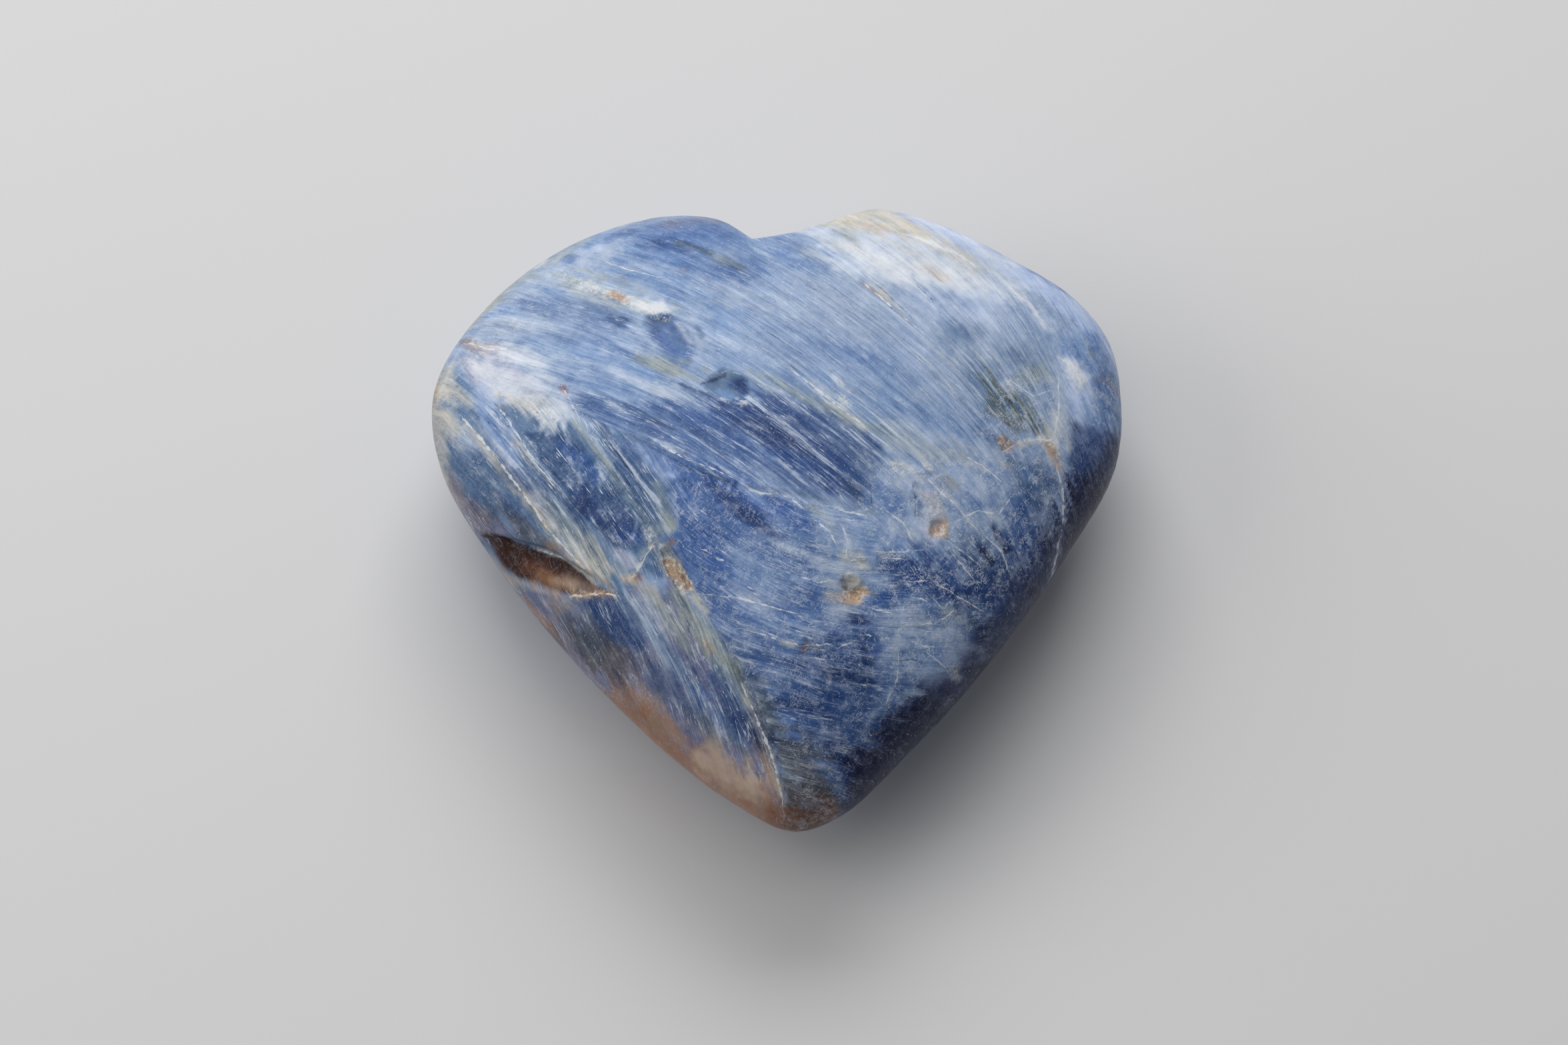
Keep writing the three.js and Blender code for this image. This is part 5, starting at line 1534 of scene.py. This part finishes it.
    # thin lines
    wobble = scaled(g.noise(place, *LINE_WOBBLE), *LINE_SWAY)
    breaks = g.remap(g.noise(place, *LINE_BREAKS), *SHOWS["break"], *LINE_GROWTH, "LINEAR")
    found = []
    for name in ("pale_line", "dark_line"):
        gap, width, _ = g.split(g.attribute(name))
        gap = g.math("ABSOLUTE", plus(gap, wobble))
        gap = g.math("SUBTRACT", gap, times(width, breaks))
        line = g.remap(gap, *SHOWS["line"], 1.0, 0.0)
        found.append(times(line, g.math("GREATER_THAN", width, LEAST_WIDTH)))
    pale_line, dark_line = found
    # dark lines: cracks, and painted shade at the foot of the hollow's upper wall
    colour = g.cover(colour, dark_line, COVERS["crack_and_shade"], g.tint(colour, CRACK_AND_SHADE_TINT))
    colour = g.cover(colour, pale_line, COVERS["line"], "milk")
    g.feed(shader.inputs["Base Color"], colour)

    # silky polish, rougher in the scars and crumbs
    rough = scaled(dull, ROUGHER["dull"], scaled(fibre, ROUGHER["fibre"], ROUGHNESS))
    g.feed(shader.inputs["Roughness"], scaled(grit, ROUGHER["grit"], rough))
    shader.inputs["IOR"].default_value = IOR
    shader.inputs["Specular IOR Level"].default_value = SPECULAR_LEVEL

    height = times(scaled(fibre, BUMP["fibre"], times(hair, BUMP["hair"])), fibrous)
    height = scaled(dust, BUMP["dust"], height)
    height = scaled(grit, times(crumb, BUMP["crumb"]), height)
    height = scaled(pale_line, BUMP["line"], scaled(dark_line, BUMP["crack_and_shade"], height))
    bump = g.node("Bump", {"Strength": 1.0, "Distance": BUMP_DISTANCE, "Height": height})
    g.feed(shader.inputs["Normal"], bump)
    return material


# ---------------------------------------------------------------- the stone
MM = 0.001


def add(name, data):
    """A new object in the scene."""
    thing = bpy.data.objects.new(name, data)
    bpy.context.scene.collection.objects.link(thing)
    return thing


def make_stone():
    """The painted mesh, in metres, in place of the CAD solid."""
    directions, quads = cube_sphere(FACE_CELLS)
    polished = stone_surface(directions)
    normal = normals_of(polished, quads)
    looks = paint(polished)
    place = polished - normal * relief(polished, normal)[:, None]
    place[:, 2] = np.maximum(place[:, 2], 0.0)
    mesh = bpy.data.meshes.new("polished_stone")
    mesh.vertices.add(len(place))
    mesh.vertices.foreach_set("co", (place * MM).ravel())
    mesh.loops.add(quads.size)
    mesh.loops.foreach_set("vertex_index", quads.ravel())
    mesh.polygons.add(len(quads))
    mesh.polygons.foreach_set("loop_start", np.arange(0, quads.size, 4))
    mesh.polygons.foreach_set("loop_total", np.full(len(quads), 4))
    mesh.update(calc_edges=True)
    mesh.validate()
    mesh.polygons.foreach_set("use_smooth", np.ones(len(quads), bool))
    layer = mesh.color_attributes.new("colour", "FLOAT_COLOR", "POINT")
    colour = looks.pop("colour")
    layer.data.foreach_set("color", np.hstack([colour, np.ones((len(colour), 1))]).ravel())
    looks["place"] = polished
    for name, values in looks.items():
        layer = mesh.attributes.new(name, "FLOAT_VECTOR", "POINT")
        layer.data.foreach_set("vector", values.ravel())
    mesh.materials.append(stone_material())
    stone = add("polished_stone", mesh)
    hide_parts("kyanite_heart")
    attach(stone, "root")


# ---------------------------------------------------------------- floor, light and camera
FLOOR_HALF = 2.0
FLOOR_COLOUR = (0.70, 0.70, 0.71, 1.0)
FLOOR_ROUGHNESS = 0.8
SKY_COLOUR = (0.94, 0.97, 1.0, 1.0)
SKY_STRENGTH = 0.17
# Soft boxes: place, aim, size (m), power (W), colour
SOFT_BOXES = {
    "key": ((0.02, 0.42, 0.42), (0, 0, 0.01), (0.5, 0.3), 2.3, (1.0, 0.985, 0.97)),
    "left": ((-0.5, 0.06, 0.34), (0, 0, 0.01), (0.4, 0.4), 1.1, (1.0, 0.98, 0.95)),
    "top": ((-0.12, 0.08, 0.75), (0, 0, 0), (0.45, 0.45), 1.0, (1.0, 1.0, 1.0)),
}
CAMERA_HEIGHT_ANGLE = math.radians(70.0)
CAMERA_TURN = math.radians(-4.5)
CAMERA_DISTANCE = 0.380
CAMERA_TARGET = Vector((-0.00015, -0.00075, 0.0115))
CAMERA = {"sensor_fit": "HORIZONTAL", "sensor_width": 36.0, "lens": 97.95, "clip_start": 0.01,
          "clip_end": 20.0}


def make_floor():
    """A plain pale floor under the stone."""
    mesh = bpy.data.meshes.new("floor")
    corners = [(x * FLOOR_HALF, y * FLOOR_HALF, 0) for x, y in ((-1, -1), (1, -1), (1, 1), (-1, 1))]
    mesh.from_pydata(corners, [], [(0, 1, 2, 3)])
    material = bpy.data.materials.new("pale_floor")
    material.use_nodes = True
    shader = material.node_tree.nodes["Principled BSDF"]
    shader.inputs["Base Color"].default_value = FLOOR_COLOUR
    shader.inputs["Roughness"].default_value = FLOOR_ROUGHNESS
    mesh.materials.append(material)
    floor = add("floor", mesh)


def make_light():
    """A faint sky and three soft boxes."""
    world = bpy.data.worlds.new("studio")
    world.use_nodes = True
    sky = world.node_tree.nodes["Background"]
    sky.inputs["Color"].default_value = SKY_COLOUR
    sky.inputs["Strength"].default_value = SKY_STRENGTH
    bpy.context.scene.world = world
    for name, (place, aim, size, power, colour) in SOFT_BOXES.items():
        light = bpy.data.lights.new(name, "AREA")
        light.shape = "RECTANGLE"
        light.size, light.size_y = size
        light.energy = power
        light.color = colour
        lamp = add(name, light)
        lamp.location = place
        lamp.rotation_euler = (Vector(aim) - Vector(place)).to_track_quat("-Z", "Y").to_euler()


def make_camera():
    """The photo's own angle."""
    flat = math.cos(CAMERA_HEIGHT_ANGLE)
    back = Vector((math.sin(CAMERA_TURN) * flat, -math.cos(CAMERA_TURN) * flat,
                   math.sin(CAMERA_HEIGHT_ANGLE)))
    right = Vector((math.cos(CAMERA_TURN), math.sin(CAMERA_TURN), 0))
    data = bpy.data.cameras.new("camera")
    for name, value in CAMERA.items():
        setattr(data, name, value)
    camera = add("camera", data)
    turn = Matrix((right, back.cross(right), back)).transposed().to_4x4()
    camera.matrix_world = Matrix.Translation(CAMERA_TARGET + back * CAMERA_DISTANCE) @ turn
    bpy.context.scene.camera = camera


make_stone()
make_floor()
make_light()
make_camera()
bpy.context.scene.view_settings.view_transform = "Standard"

bpy.context.view_layer.update()
